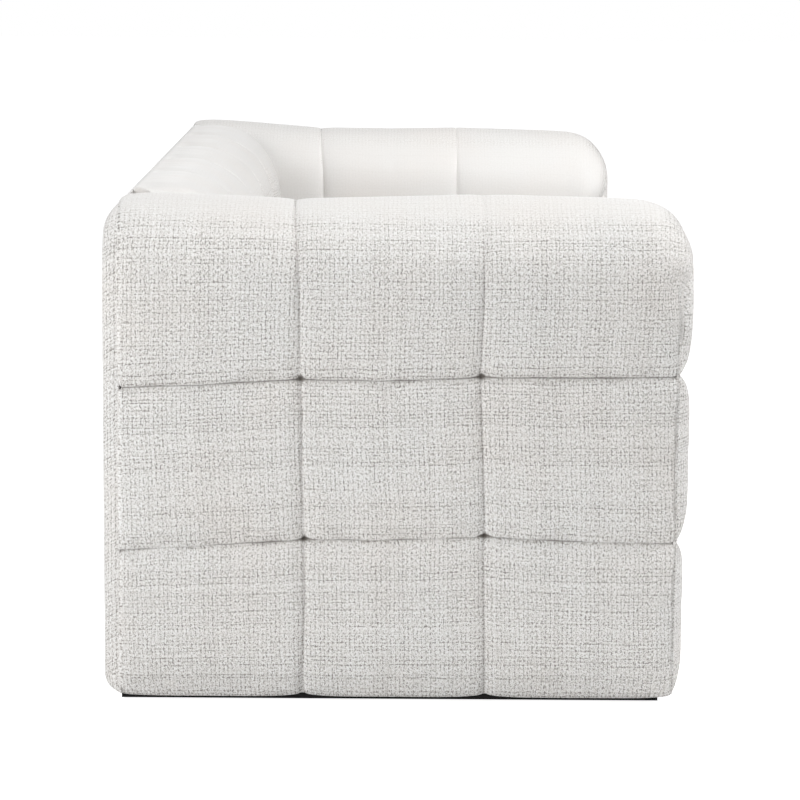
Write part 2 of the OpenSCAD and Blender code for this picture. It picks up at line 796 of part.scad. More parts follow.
module cushion_cover() {
  seams = seat_seams(cushion_end);
  half_cells = [for (cell = [0, 1]) for (share = cell_share)
    [(cell + share) / 2, swell(share), swell(share)]];
  across = [for (i = [1 : len(half_cells) - 1]) half_cells[i]];
  border = concat(row_levels(cushion_z, cushion_seam_top_z, 0), [[cushion_seam_top_z, 0, 0]]);
  levels = [for (lv = border)
    level(lv[0], -rail_cover_front_y, -cushion_rear_y, -cushion_end, cushion_end,
      [crown * lv[1], 0], [0, 0], (crown - cushion_draw) * lv[1], (crown - cushion_draw) * lv[1])];
  difference() {
    rotate([0, 0, 180])
      tufted_block(levels, stations(seams), across, seams[1], seams[seat_columns - 1], crown, cushion_dome);
    cushion_room(0);
  }
}

// Room for the core inside the cushion's cover, drawn inwards by inset
module cushion_room(inset) {
  wall = cover_wall + inset;
  translate([-cushion_half + crown + wall, rail_cover_front_y + wall, cushion_z + wall])
    cube([
      2 * (cushion_half - crown - wall),
      cushion_rear_y - rail_cover_front_y - 2 * wall,
      cushion_seam_top_z - cushion_z - 2 * wall]);
}

module cushion_zip() {
  length = cushion_half;
  translate([-length / 2, cushion_rear_y + fit, (cushion_z + cushion_seam_top_z - zip_w) / 2])
    cube([length, zip_t, zip_w]);
}

// Bolts and tee nuts, both arms

module arm_bolt_set() {
  rail_face = -arm_half - fit - board_t;
  reach = -arm_post_half + bolt_reach - rail_face;
  along_bolts(rail_face, reach, bolt_d / 2);
  along_bolts(rail_face - bolt_head_h, bolt_head_h, bolt_head_d / 2);
}

module tee_nut_set() {
  difference() {
    union() {
      along_bolts(-arm_frame_half, panel_t, tee_barrel_d / 2);
      along_bolts(-arm_post_half, tee_flange_t, tee_flange_d / 2);
    }
    along_bolts(-arm_frame_half - over, panel_t + tee_flange_t + 2 * over, bolt_d / 2 + fit / 2);
  }
}

// Base

module plinth_cross_rail(y) {
  translate([-plinth_x, y, glide_h]) cube([2 * plinth_x, plinth_w, plinth_h]);
}

module plinth_end_rail(x) {
  translate([x, plinth_front_y + plinth_w, glide_h])
    cube([plinth_w, plinth_rear_y - plinth_front_y - 2 * plinth_w, plinth_h]);
}

glide_share = [-1, 0, 1];
module floor_glides() {
  edge = plinth_w / 2;
  for (share = glide_share)
    for (y = [plinth_front_y + edge, plinth_rear_y - edge])
      translate([share * (plinth_x - edge), y, 0]) cylinder(h = glide_h, r = glide_d / 2, $fn = round_fn);
}

module dust_cover() {
  translate([-plinth_x + plinth_w + fit, plinth_front_y + plinth_w + fit, base_z - dust_cover_t])
    cube([
      2 * (plinth_x - plinth_w - fit),
      plinth_rear_y - plinth_front_y - 2 * (plinth_w + fit),
      dust_cover_t]);
}

// Colours, as the photograph shows them and as such pieces have them
cream = "#e9e6df";
foam_colour = "#f1e3b4";
birch = "#d8b888";
ply = "#c9a06a";
steel = "#8e9296";
black = "#1b1b1c";
felt_grey = "#9a968e";

color(cream) at_left_arm() arm_cover();  // left_arm_cover
color(cream) at_right_arm() arm_cover();  // right_arm_cover
color(cream) back_cover();
color(cream) outside_back_panel();
color(cream) front_rail_cover();
color(cream) cushion_cover();  // seat_cushion_cover
color(foam_colour) cushion_room(fit);  // seat_cushion_core
color(felt_grey) cushion_zip();  // seat_cushion_zip
color(foam_colour) at_left_arm() arm_foam();  // left_arm_foam
color(foam_colour) at_right_arm() arm_foam();  // right_arm_foam
color(foam_colour) back_foam();
color(foam_colour) front_rail_foam();
color(ply) at_left_arm() arm_panel(false);  // left_arm_outer_panel
color(ply) at_left_arm() arm_panel(true);  // left_arm_inner_panel
color(birch) at_left_arm() arm_post(arm_frame_front_y);  // left_arm_front_post
color(birch) at_left_arm() arm_post(rear_post_y);  // left_arm_rear_post
color(birch) at_left_arm() arm_rail(arm_top_rail_z);  // left_arm_top_rail
color(birch) at_left_arm() arm_rail(base_z);  // left_arm_base_rail
color(ply) at_right_arm() arm_panel(false);  // right_arm_outer_panel
color(ply) at_right_arm() arm_panel(true);  // right_arm_inner_panel
color(birch) at_right_arm() arm_post(arm_frame_front_y);  // right_arm_front_post
color(birch) at_right_arm() arm_post(rear_post_y);  // right_arm_rear_post
color(birch) at_right_arm() arm_rail(arm_top_rail_z);  // right_arm_top_rail
color(birch) at_right_arm() arm_rail(base_z);  // right_arm_base_rail
color(birch) back_board(back_frame_h - board_t);  // back_top_rail
color(birch) back_board(base_z);  // back_bottom_rail
color(ply) back_end_posts();
color(ply) back_stiles();
color(felt_grey) back_webbing();
color(birch) seat_cross_rail(front_rail_y);  // seat_front_rail
color(birch) seat_cross_rail(rear_rail_y);  // seat_rear_rail
color(birch) seat_side_rails();
color(birch) seat_stretchers();
color(birch) corner_blocks();
color(steel) seat_springs();
color(steel) spring_clips();
color(steel) spring_tie_wires();
color(felt_grey) deck_sheet(felt_z, insulator_t);  // spring_insulator
color(foam_colour) deck_sheet(pad_z, deck_pad_t);  // deck_pad
color(cream) deck_sheet(deck_z, deck_cloth_t);  // deck_cloth
color(cream) at_left_arm() arm_twine();  // left_arm_tufting_twine
color(cream) at_right_arm() arm_twine();  // right_arm_tufting_twine
color(cream) along_back_ties(twine_d / 2, 0);  // back_tufting_twine
color(steel) {  // arm_bolts
  at_left_arm() arm_bolt_set();
  at_right_arm() arm_bolt_set();
}
color(steel) {  // tee_nuts
  at_left_arm() tee_nut_set();
  at_right_arm() tee_nut_set();
}
color(black) plinth_cross_rail(plinth_front_y);  // plinth_front_rail
color(black) plinth_cross_rail(plinth_rear_y - plinth_w);  // plinth_rear_rail
color(black) plinth_end_rail(-plinth_x);  // plinth_left_rail
color(black) plinth_end_rail(plinth_x - plinth_w);  // plinth_right_rail
color(black) floor_glides();
color(black) dust_cover();
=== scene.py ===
"""Looks of a tuxedo sofa in chunky cream chenille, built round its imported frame.

Every cover is a loft: section curves at stations along the piece, closed by ladders of
rungs at its ends and underneath. Pillows stand proud of the seams along the surface
normal, seams stay pinned, and a short cloth simulation lets the fabric settle between them.
Cloth coordinates start at a place of their own on each piece and panel, so that no two
show the same stretch of weave.
"""

import json
import logging
import math
from dataclasses import dataclass, field
from enum import Enum
from functools import partial, reduce

import bmesh
import bpy
import numpy as np
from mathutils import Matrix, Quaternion, Vector

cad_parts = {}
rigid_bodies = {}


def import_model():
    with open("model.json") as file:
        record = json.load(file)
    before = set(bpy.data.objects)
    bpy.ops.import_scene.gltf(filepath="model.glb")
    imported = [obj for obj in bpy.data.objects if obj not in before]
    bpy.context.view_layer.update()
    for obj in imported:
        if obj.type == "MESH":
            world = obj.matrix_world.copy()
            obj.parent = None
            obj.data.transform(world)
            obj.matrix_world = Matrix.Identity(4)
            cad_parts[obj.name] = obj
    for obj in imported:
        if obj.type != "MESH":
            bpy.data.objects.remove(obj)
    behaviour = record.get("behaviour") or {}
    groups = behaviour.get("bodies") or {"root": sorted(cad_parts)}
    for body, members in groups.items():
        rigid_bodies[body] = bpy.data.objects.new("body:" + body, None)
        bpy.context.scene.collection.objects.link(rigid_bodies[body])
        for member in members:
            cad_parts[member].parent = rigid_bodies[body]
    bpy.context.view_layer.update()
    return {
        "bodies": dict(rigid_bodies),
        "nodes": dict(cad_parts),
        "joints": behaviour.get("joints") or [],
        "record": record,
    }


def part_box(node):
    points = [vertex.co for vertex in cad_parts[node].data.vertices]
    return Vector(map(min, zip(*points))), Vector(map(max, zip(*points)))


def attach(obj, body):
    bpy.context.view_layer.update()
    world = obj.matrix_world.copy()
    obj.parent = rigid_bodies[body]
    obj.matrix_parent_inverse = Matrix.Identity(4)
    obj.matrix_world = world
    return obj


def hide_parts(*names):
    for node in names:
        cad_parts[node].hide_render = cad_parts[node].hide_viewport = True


Array = np.ndarray
Socket = bpy.types.NodeSocket
Colour = tuple[float, float, float]
Triple = tuple[float, float, float]
Fade = tuple[float, float]
log = logging.getLogger("sofa")

MM = 0.001
CLOTH_MAP = "cloth"
# The crease attribute sets the painted shade in the seams: how far thread draws the cloth in, 1 at
# CREASE_DEPTH and deeper.
CREASE = "crease"
CREASE_DEPTH = 5 * MM
UNEVENNESS = 0.08


class Side(Enum):
    """Which end of the sofa a piece belongs to, as a sign along X."""

    LEFT = -1
    RIGHT = 1


class Body(Enum):
    """The two bodies that pieces ride on."""

    SOFA = "sofa_body"
    CUSHION = "seat_cushion"


def share_of(low: Array, high: Array, x: Array) -> Array:
    """How far each place has come from low to high, from 0 to 1."""
    return np.clip((x - low) / (high - low), 0.0, 1.0)


def smooth_step(low: Array, high: Array, x: Array) -> Array:
    """Smooth rise from 0 at low to 1 at high: t squared times 3 - 2t."""
    t = share_of(low, high, x)
    return t * t * (3.0 - 2.0 * t)


def quarter_drop(distance: Array, radius: float) -> Array:
    """How far a quarter circle has dropped: r - sqrt(r^2 - (r - d)^2), and 0 past the radius.

    Args:
        distance: Distance from the end where the quarter circle is steepest.
        radius: Radius of the quarter circle.

    Returns:
        The drop, from the radius at distance 0 down to 0.
    """
    inside = np.clip(radius - distance, 0.0, radius)
    return radius - np.sqrt(np.maximum(radius**2 - inside**2, 0.0))


def quarter_rise(distance: Array, radius: float) -> Array:
    """A quarter circle's rise, from 0 at its steep end to 1 past the radius."""
    return 1 - quarter_drop(distance, radius) / radius


def tucked(above: Array, depth: float, height: float = 40 * MM) -> Array:
    """How far a cover's foot is drawn in: depth times (1 - above / height)^2, up to the height."""
    return depth * np.clip(1 - above / height, 0.0, 1.0) ** 2


@dataclass(frozen=True)
class Tufting:
    """How a pillow rises from its seams."""

    power: float = 6.0
    groove_share: float = 0.34
    groove: float = 4 * MM
    step: float = 13 * MM
    overhang: float = 6 * MM
    overhang_reach: float = 11 * MM
    below: float = 0.25
    at_seam: float = 0.1 * MM
    give: float = 1.5 * MM
    sink_reach: float = 3.2 * MM
    pit: float = 3 * MM
    pit_reach: float = 5 * MM
    beside_seam: tuple[float, ...] = (0.0, 2 * MM, 4.5 * MM, 8 * MM, 13 * MM, 19 * MM, 27 * MM)

    def stations(self, edges: list[float]) -> Array:
        """Grid lines over a run of cells, close together beside every seam.

        Args:
            edges: Places of the seams, in order.

        Returns:
            The places of the grid lines, with every seam among them.
        """
        near = np.array(self.beside_seam)
        parts = []
        for low, high in zip(edges[:-1], edges[1:]):
            kept = near[near < (high - low) / 3]
            count = max(2, math.ceil((high - low - 2 * kept[-1]) / self.step))
            middle = np.linspace(low + kept[-1], high - kept[-1], count + 1)
            parts.append(np.concatenate([low + kept[:-1], middle, (high - kept[:-1])[::-1][:-1]]))
        return np.concatenate([*parts, [edges[-1]]])

    def swell(self, x: Array, edges: list[float]) -> Array:
        """Rise of the pillows: a broad dome, 1 - |2s - 1|^power, and a narrow groove at each seam.

        Args:
            x: Places along the run.
            edges: Places of the seams.

        Returns:
            0 at every seam and 1 over the middle of a pillow.
        """
        seams = np.array(edges)
        index = np.clip(np.searchsorted(seams, x, side="right") - 1, 0, len(seams) - 2)
        low, high = seams[index], seams[index + 1]
        broad = 1.0 - np.abs(2.0 * share_of(low, high, x) - 1.0) ** self.power
        beside = np.clip(np.minimum(x - low, high - x), 0.0, None)
        narrow = 1.0 - np.exp(-beside / self.groove)
        return (1.0 - self.groove_share) * broad + self.groove_share * narrow

    def sink(self, x: Array, seams: list[float], depth: float) -> Array:
        """How deep thread pulls the cloth in: a narrow bell, depth times exp(-(d / reach)^2).

        Args:
            x: Places along the run.
            seams: Places of the seams.
            depth: Depth at a seam.

        Returns:
            The depth at each place.
        """
        return depth * sum(np.exp(-(((x - seam) / self.sink_reach) ** 2)) for seam in seams)

    def pits(self, across: Array, z: Array, columns: list[float], rows: list[float]) -> Array:
        """Depth of the pits where twine pulls the crossings in: a bell round each crossing.

        Args:
            across: Places along the rows.
            z: Heights.
            columns: Places of the columns.
            rows: Heights of the rows.

        Returns:
            The depth at each place.
        """
        away = [(across - column) ** 2 + (z - row) ** 2 for column in columns for row in rows]
        return self.pit * sum(np.exp(-square / self.pit_reach**2) for square in away)

    def hang(self, z: Array, seams: list[float]) -> Array:
        """How far fabric hangs over a level seam: an exponential fall above it, less below it.

        Args:
            z: Heights.
            seams: Heights of the seams.

        Returns:
            The height to add, which is never above 0.
        """
        total = np.zeros(np.shape(z))
        for seam in seams:
            above = z - seam
            reach = np.exp(-np.abs(above) / self.overhang_reach)
            share = np.where(above > 0, 1.0, self.below) * (np.abs(above) > self.at_seam)
            total = total - self.overhang * reach * share
        return total


@dataclass
class Patch:
    """A grid of points of one sewn panel, with what each point needs later."""

    points: Array
    cloth: Array
    lift: Array
    pinned: Array
    # line is a painted shade line, from 0 to 1, that darkens points where no thread draws the cloth in.
    line: Array | None = None

    @classmethod
    def still(cls, points: Array, cloth: Array) -> "Patch":
        """A panel without pillows."""
        return cls(points, cloth, np.zeros(points.shape[:2]), np.zeros(points.shape[:2], bool))

    def drawn(self) -> Array:
        """How much painted seam shade each point gets, from 0 to 1: how far thread draws it in, or the
        painted line.
        """
        deep = np.clip(-self.lift / CREASE_DEPTH, 0.0, 1.0)
        return deep if self.line is None else np.maximum(deep, self.line)


@dataclass
class Loft:
    """Sections along a piece, closed by a ladder of rungs at each end and underneath.

    points is stations by section points by 3, and the other arrays follow it. rungs is how
    many section points on each side the end ladders join, and shares places the points on a
    rung. end_lift holds, for each end, how far the rungs' middles stand proud.
    """

    points: Array
    cloth: Array
    lift: Array
    pinned: Array
    rungs: int
    shares: Array
    end_lift: tuple[Array, Array]
    end_swell: Array
    end_axis: int
    end_pinned: tuple[bool, bool] = (True, True)
    end_hang: Array | None = None
    # line is a painted shade line on the wrap, from 0 to 1.
    line: Array | None = None

    def ladder(self, near: Array, far: Array) -> Array:
        """Straight rungs between two rows of points: rungs by shares by 3."""
        return near[:, None] + self.shares[None, :, None] * (far - near)[:, None]

    def end_patch(self, end: int) -> Patch:
        """The panel at one end: its rim follows the section, and its middle stands proud.

        Args:
            end: 0 for the first station, -1 for the last.

        Returns:
            The panel.
        """
        section = self.points[end]
        grid = self.ladder(section[: self.rungs], section[::-1][: self.rungs])
        rim = self.lift[end][: self.rungs, None]
        rise = self.end_lift[end][:, None]
        lift = rim + (rise - rim) * self.end_swell[None, :]
        cloth = np.stack([grid[..., self.end_axis] + 3.0 + end, grid[..., 2] + 1.7], axis=-1)
        if self.end_hang is not None and end == 0:
            grid[..., 2] += self.end_hang[:, None] * self.end_swell[None, :]
        pinned = np.full(lift.shape, self.end_pinned[end])
        pinned |= self.pinned[end][: self.rungs, None] & (rise < 0.5 * MM)
        return Patch(grid, cloth, lift, pinned)

    def under_patch(self) -> Patch:
        """The flat panel that closes the loft between its first and last section points.

        Returns:
            The panel, pinned everywhere.
        """
        grid = self.ladder(self.points[:, 0], self.points[:, -1])
        patch = Patch.still(grid, grid[..., :2] + 7.3)
        patch.pinned[:] = True
        return patch

    def patches(self) -> list[Patch]:
        """All panels, the wrap first, because welded points keep the first panel's values."""
        wrap = Patch(self.points, self.cloth, self.lift, self.pinned, self.line)
        return [wrap, self.end_patch(0), self.end_patch(-1), self.under_patch()]


@dataclass
class SewnMesh:
    """Panels welded into one mesh, with cloth coordinates on every face corner."""

    name: str
    patches: list[Patch]
    weld: float = 0.02 * MM

    def build(self) -> tuple[bpy.types.Object, Array]:
        """Welds the panels, turns the faces outwards and stands the pillows proud.

        Returns:
            The object, at the origin, and which of its points are pinned.
        """
        rows = [(p.points.reshape(-1, 3), p.cloth.reshape(-1, 2), p.lift.ravel(), p.pinned.ravel(),
                 p.drawn().ravel()) for p in self.patches]
        points, cloth, lift, pinned, drawn = (np.concatenate(values) for values in zip(*rows))
        keys = np.round(points / self.weld + 0.37).astype(np.int64)
        _, first, welded = np.unique(keys, axis=0, return_index=True, return_inverse=True)
        welded = welded.ravel()
        mesh = self.mesh_of(points[first], welded, cloth, self.face_corners())
        normals = np.zeros(len(first) * 3)
        mesh.vertices.foreach_get("normal", normals)
        raised = points[first] + normals.reshape(-1, 3) * lift[first][:, None]
        mesh.vertices.foreach_set("co", raised.ravel())
        # The crease attribute carries how much painted shade each point gets in the seams.
        layer = mesh.attributes.new(CREASE, "FLOAT", "POINT")
        layer.data.foreach_set("value", drawn[first])
        mesh.update()
        held = np.zeros(len(first), bool)
        np.logical_or.at(held, welded, pinned)
        obj = bpy.data.objects.new(self.name, mesh)
        bpy.context.scene.collection.objects.link(obj)
        return obj, held

    def face_corners(self) -> Array:
        """Corner indices of every quad of every panel, before welding.

        Returns:
            Quads by 4.
        """
        quads, start = [], 0
        for patch in self.patches:
            rows, columns = patch.points.shape[:2]
            index = start + np.arange(rows * columns).reshape(rows, columns)
            around = [index[:-1, :-1], index[1:, :-1], index[1:, 1:], index[:-1, 1:]]
            quads.append(np.stack(around, axis=-1).reshape(-1, 4))
            start += rows * columns
        return np.concatenate(quads)

    def mesh_of(self, points: Array, welded: Array, cloth: Array, corners: Array) -> bpy.types.Mesh:
        """A mesh of quads, and of triangles where two corners of a quad are welded.

        Args:
            points: Welded points.
            welded: Welded index of every unwelded point.
            cloth: Cloth coordinates of every unwelded point.
            corners: Corner indices of every quad, before welding.

        Returns:
            The mesh, with its faces turned outwards.
        """
        ids = welded[corners]
        same = ids == np.roll(ids, -1, axis=1)
        whole = ~same.any(axis=1)
        single = same.sum(axis=1) == 1
        keep = np.argsort(same[single], axis=1, kind="stable")[:, :3]
        keep.sort(axis=1)
        triangles = np.take_along_axis(corners[single], keep, axis=1)
        order = np.concatenate([corners[whole].ravel(), triangles.ravel()])
        faces = welded[corners[whole]].tolist() + welded[triangles].tolist()
        mesh = bpy.data.meshes.new(self.name)
        mesh.from_pydata(points.tolist(), [], faces)
        layer = mesh.uv_layers.new(name=CLOTH_MAP)
        layer.data.foreach_set("uv", cloth[order].ravel())
        work = bmesh.new()
        work.from_mesh(mesh)
        bmesh.ops.recalc_face_normals(work, faces=work.faces)
        work.to_mesh(mesh)
        work.free()
        mesh.shade_smooth()
        return mesh


@dataclass(frozen=True)
class Settling:
    """A short cloth simulation that presses the fabric outwards between its pinned seams."""

    pressure: float = 4.0
    spare: float = 0.012
    frames: int = 14
    quality: int = 4
    stretch: float = 20.0
    shear: float = 8.0
    bending: float = 0.6
    cap: float = 4.5 * MM

    def apply(self, obj: bpy.types.Object, held: Array) -> None:
        """Runs the simulation and writes its capped result into the mesh.

        Args:
            obj: The piece, which keeps its faces and cloth coordinates.
            held: Which points stay where they are.
        """
        before = coordinates(obj.data)
        group = obj.vertex_groups.new(name="seams")
        group.add(np.flatnonzero(held).tolist(), 1.0, "REPLACE")
        modifier = obj.modifiers.new("settling", "CLOTH")
        settings = modifier.settings
        settings.quality = self.quality
        settings.tension_stiffness = settings.compression_stiffness = self.stretch
        settings.shear_stiffness = self.shear
        settings.bending_stiffness = self.bending
        settings.use_pressure = True
        settings.uniform_pressure_force = self.pressure
        settings.shrink_min = -self.spare
        settings.vertex_group_mass = group.name
        settings.effector_weights.gravity = 0.0
        modifier.point_cache.frame_start = 1
        modifier.point_cache.frame_end = self.frames
        scene = bpy.context.scene
        for frame in range(1, self.frames + 1):
            scene.frame_set(frame)
        after = coordinates(obj.evaluated_get(bpy.context.evaluated_depsgraph_get()).data)
        obj.modifiers.remove(modifier)
        obj.vertex_groups.remove(group)
        scene.frame_set(1)
        move = after - before
        length = np.linalg.norm(move, axis=1, keepdims=True)
        move *= np.minimum(1.0, self.cap / np.maximum(length, 1e-9))
        obj.data.vertices.foreach_set("co", (before + move).ravel())
        obj.data.update()
        log.info("%s settled by up to %.1f mm", obj.name, float(length.max()) / MM)


def coordinates(mesh: bpy.types.Mesh) -> Array:
    """Points of a mesh.

    Args:
        mesh: The mesh.

    Returns:
        Points by 3.
    """
    flat = np.zeros(len(mesh.vertices) * 3)
    mesh.vertices.foreach_get("co", flat)
    return flat.reshape(-1, 3)


def undulation(x: Array, y: Array, seed: int, size: float = 0.16) -> Array:
    """Gentle unevenness: a sum of six crossing cosine waves with seeded directions.

    Args:
        x: First coordinates, in metres.
        y: Second coordinates, in metres.
        seed: Seed of the directions and phases.
        size: Shortest wave, in metres.

    Returns:
        Values from about -1 to 1.
    """
    random = np.random.default_rng(seed)
    angles = random.uniform(0, math.tau, 6)
    phases = random.uniform(0, math.tau, 6)
    waves = size * random.uniform(1.0, 2.6, 6)
    total = np.zeros(np.broadcast(x, y).shape)
    for angle, phase, wave in zip(angles, phases, waves):
        total = total + np.cos(math.tau * (x * math.cos(angle) + y * math.sin(angle)) / wave + phase)
    return total / 4.0


def uneven(x: Array, y: Array, seed: int) -> Array:
    """A factor round 1 that makes no two pillows of a cover the same."""
    return 1 + UNEVENNESS * undulation(x, y, seed)


def arc_lengths(points: Array) -> Array:
    """Distance along each section, from its first point, for stations by points by 3."""
    steps = np.linalg.norm(np.diff(points, axis=1), axis=2)
    return np.concatenate([np.zeros((len(points), 1)), np.cumsum(steps, axis=1)], axis=1)


class Graph:
    """A node tree, with short calls for the nodes that its users share."""

    def __init__(self, tree: bpy.types.NodeTree) -> None:
        """Keeps the tree."""
        self.tree = tree

    def feed(self, socket: Socket, value: object) -> None:
        """Links a socket to another, or sets its value when the value is plain.

        Args:
            socket: The input.
            value: The output to link, or the plain value.
        """
        if isinstance(value, Socket):
            self.tree.links.new(value, socket)
        else:
            socket.default_value = value

    def make(self, kind: str, inputs: dict, output: object = 0, **settings: object) -> Socket:
        """A new node.

        Args:
            kind: Its type, without the leading ShaderNode.
            inputs: Values or sockets, by the key of the input that they feed.
            output: Key of the output to give.
            settings: Its properties.

        Returns:
            The output.
        """
        node = self.tree.nodes.new(f"ShaderNode{kind}")
        for name, value in settings.items():
            setattr(node, name, value)
        for key, value in inputs.items():
            self.feed(node.inputs[key], value)
        return node.outputs[output]

    def math(self, operation: str, a: object, b: object = 0.0, clamp: bool = False) -> Socket:
        """A Math node's result, from values or sockets."""
        return self.make("Math", {0: a, 1: b}, operation=operation, use_clamp=clamp)

    def times(self, *factors: object) -> Socket:
        """The product of values and sockets, from left to right."""
        return reduce(partial(self.math, "MULTIPLY"), factors)

    def plus(self, *terms: object) -> Socket:
        """The sum of values and sockets, from left to right."""
        return reduce(partial(self.math, "ADD"), terms)

    def most(self, *values: object) -> Socket:
        """The largest of values and sockets."""
        return reduce(partial(self.math, "MAXIMUM"), values)

    def minus(self, a: object, b: object, clamp: bool = False) -> Socket:
        """The difference of two values or sockets."""
        return self.math("SUBTRACT", a, b, clamp)


class Nodes(Graph):
    """A material's node tree, with its shader and the inputs that the finishes read."""

    def __init__(self, name: str) -> None:
        """Starts a material with one shader.

        Args:
            name: Name of the material.
        """
        self.material = bpy.data.materials.new(name)
        self.material.use_nodes = True
        super().__init__(self.material.node_tree)
        self.tree.nodes.clear()
        self.shader = self.tree.nodes.new("ShaderNodeBsdfPrincipled")
        output = self.tree.nodes.new("ShaderNodeOutputMaterial")
        self.tree.links.new(self.shader.outputs[0], output.inputs[0])

    def set(self, **values: object) -> None:
        """Feeds the shader's sockets, named with underscores for spaces."""
        for name, value in values.items():
            self.feed(self.shader.inputs[name.replace("_", " ")], value)

    def vector(self, operation: str, a: object, b: object = (0.0, 0.0, 0.0)) -> Socket:
        """A Vector Math node's result."""
        return self.make("VectorMath", {0: a, 1: b}, operation=operation)

    def parts(self, vector: Socket) -> tuple[Socket, ...]:
        """The three parts of a vector.

        Args:
            vector: The vector.

        Returns:
            Its parts.
        """
        node = self.tree.nodes.new("ShaderNodeSeparateXYZ")
        self.feed(node.inputs[0], vector)
        return tuple(node.outputs)

    def join(self, x: object, y: object, z: object = 0.0) -> Socket:
        """A vector from three parts."""
        return self.make("CombineXYZ", {0: x, 1: y, 2: z})

    def cloth(self) -> Socket:
        """Flat cloth coordinates, in metres."""
        return self.make("UVMap", {}, uv_map=CLOTH_MAP)

    def crease(self) -> Socket:
        """How much painted shade the seams get, from 0 to 1: how far thread draws the cloth in."""
        return self.make("Attribute", {}, "Fac", attribute_name=CREASE)

    def place(self) -> Socket:
        """Object coordinates, in metres."""
        return self.make("TexCoord", {}, "Object")

    def noise(self, vector: object, scale: float, detail: float = 2.0, colour: bool = False,
              roughness: float = 0.5) -> Socket:
        """A noise, about 0.5 on average.

        Args:
            vector: Where it is read.
            scale: Its lumps per metre.
            detail: Its octaves.
            colour: Whether to give three noises at once.
            roughness: How strong the finer octaves are.

        Returns:
            The noise.
        """
        inputs = {"Vector": vector, "Scale": scale, "Detail": detail, "Roughness": roughness}
        return self.make("TexNoise", inputs, 1 if colour else 0)

    def random(self, x: object, y: object, z: object) -> Socket:
        """A random value from 0 to 1 for each three whole numbers."""
        return self.make("TexWhiteNoise", {"Vector": self.join(x, y, z)}, "Value", noise_dimensions="3D")

    def rise(self, value: Socket, low: float, high: float) -> Socket:
        """A smooth rise from 0 at low to 1 at high."""
        return self.make("MapRange", {0: value, 1: low, 2: high}, interpolation_type="SMOOTHSTEP")

    def mix(self, share: object, a: object, b: object, blend: str = "MIX") -> Socket:
        """A mix of two colours."""
        return self.make("Mix", {0: share, 6: a, 7: b}, 2, data_type="RGBA", blend_type=blend)

    def ramp(self, share: object, stops: list[tuple[float, Colour]]) -> Socket:
        """A colour ramp.

        Args:
            share: Where it is read.
            stops: Places and colours, in order.

        Returns:
            The colour.
        """
        node = self.tree.nodes.new("ShaderNodeValToRGB")
        while len(node.color_ramp.elements) < len(stops):
            node.color_ramp.elements.new(0.5)
        for element, (place, colour) in zip(node.color_ramp.elements, stops):
            element.position = place
            element.color = (*colour, 1.0)
        self.feed(node.inputs[0], share)
        return node.outputs[0]

    def bump(self, height: Socket, distance: float, strength: float) -> None:
        """Raises the shader's surface by a height from 0 to 1, of a full size in metres."""
        self.set(Normal=self.make("Bump", {"Strength": strength, "Distance": distance, "Height": height}))


@dataclass(frozen=True)
class Finish:
    """A material that is made from nodes alone."""

    def material(self, name: str) -> bpy.types.Material:
        """Builds the material.

        Args:
            name: Its name.

        Returns:
            The material.
        """
        n = Nodes(name)
        self.paint(n)
        return n.material

    def paint(self, n: Nodes) -> None:
        """Feeds the shader of a node tree, which each finish does in its own way."""
        raise NotImplementedError


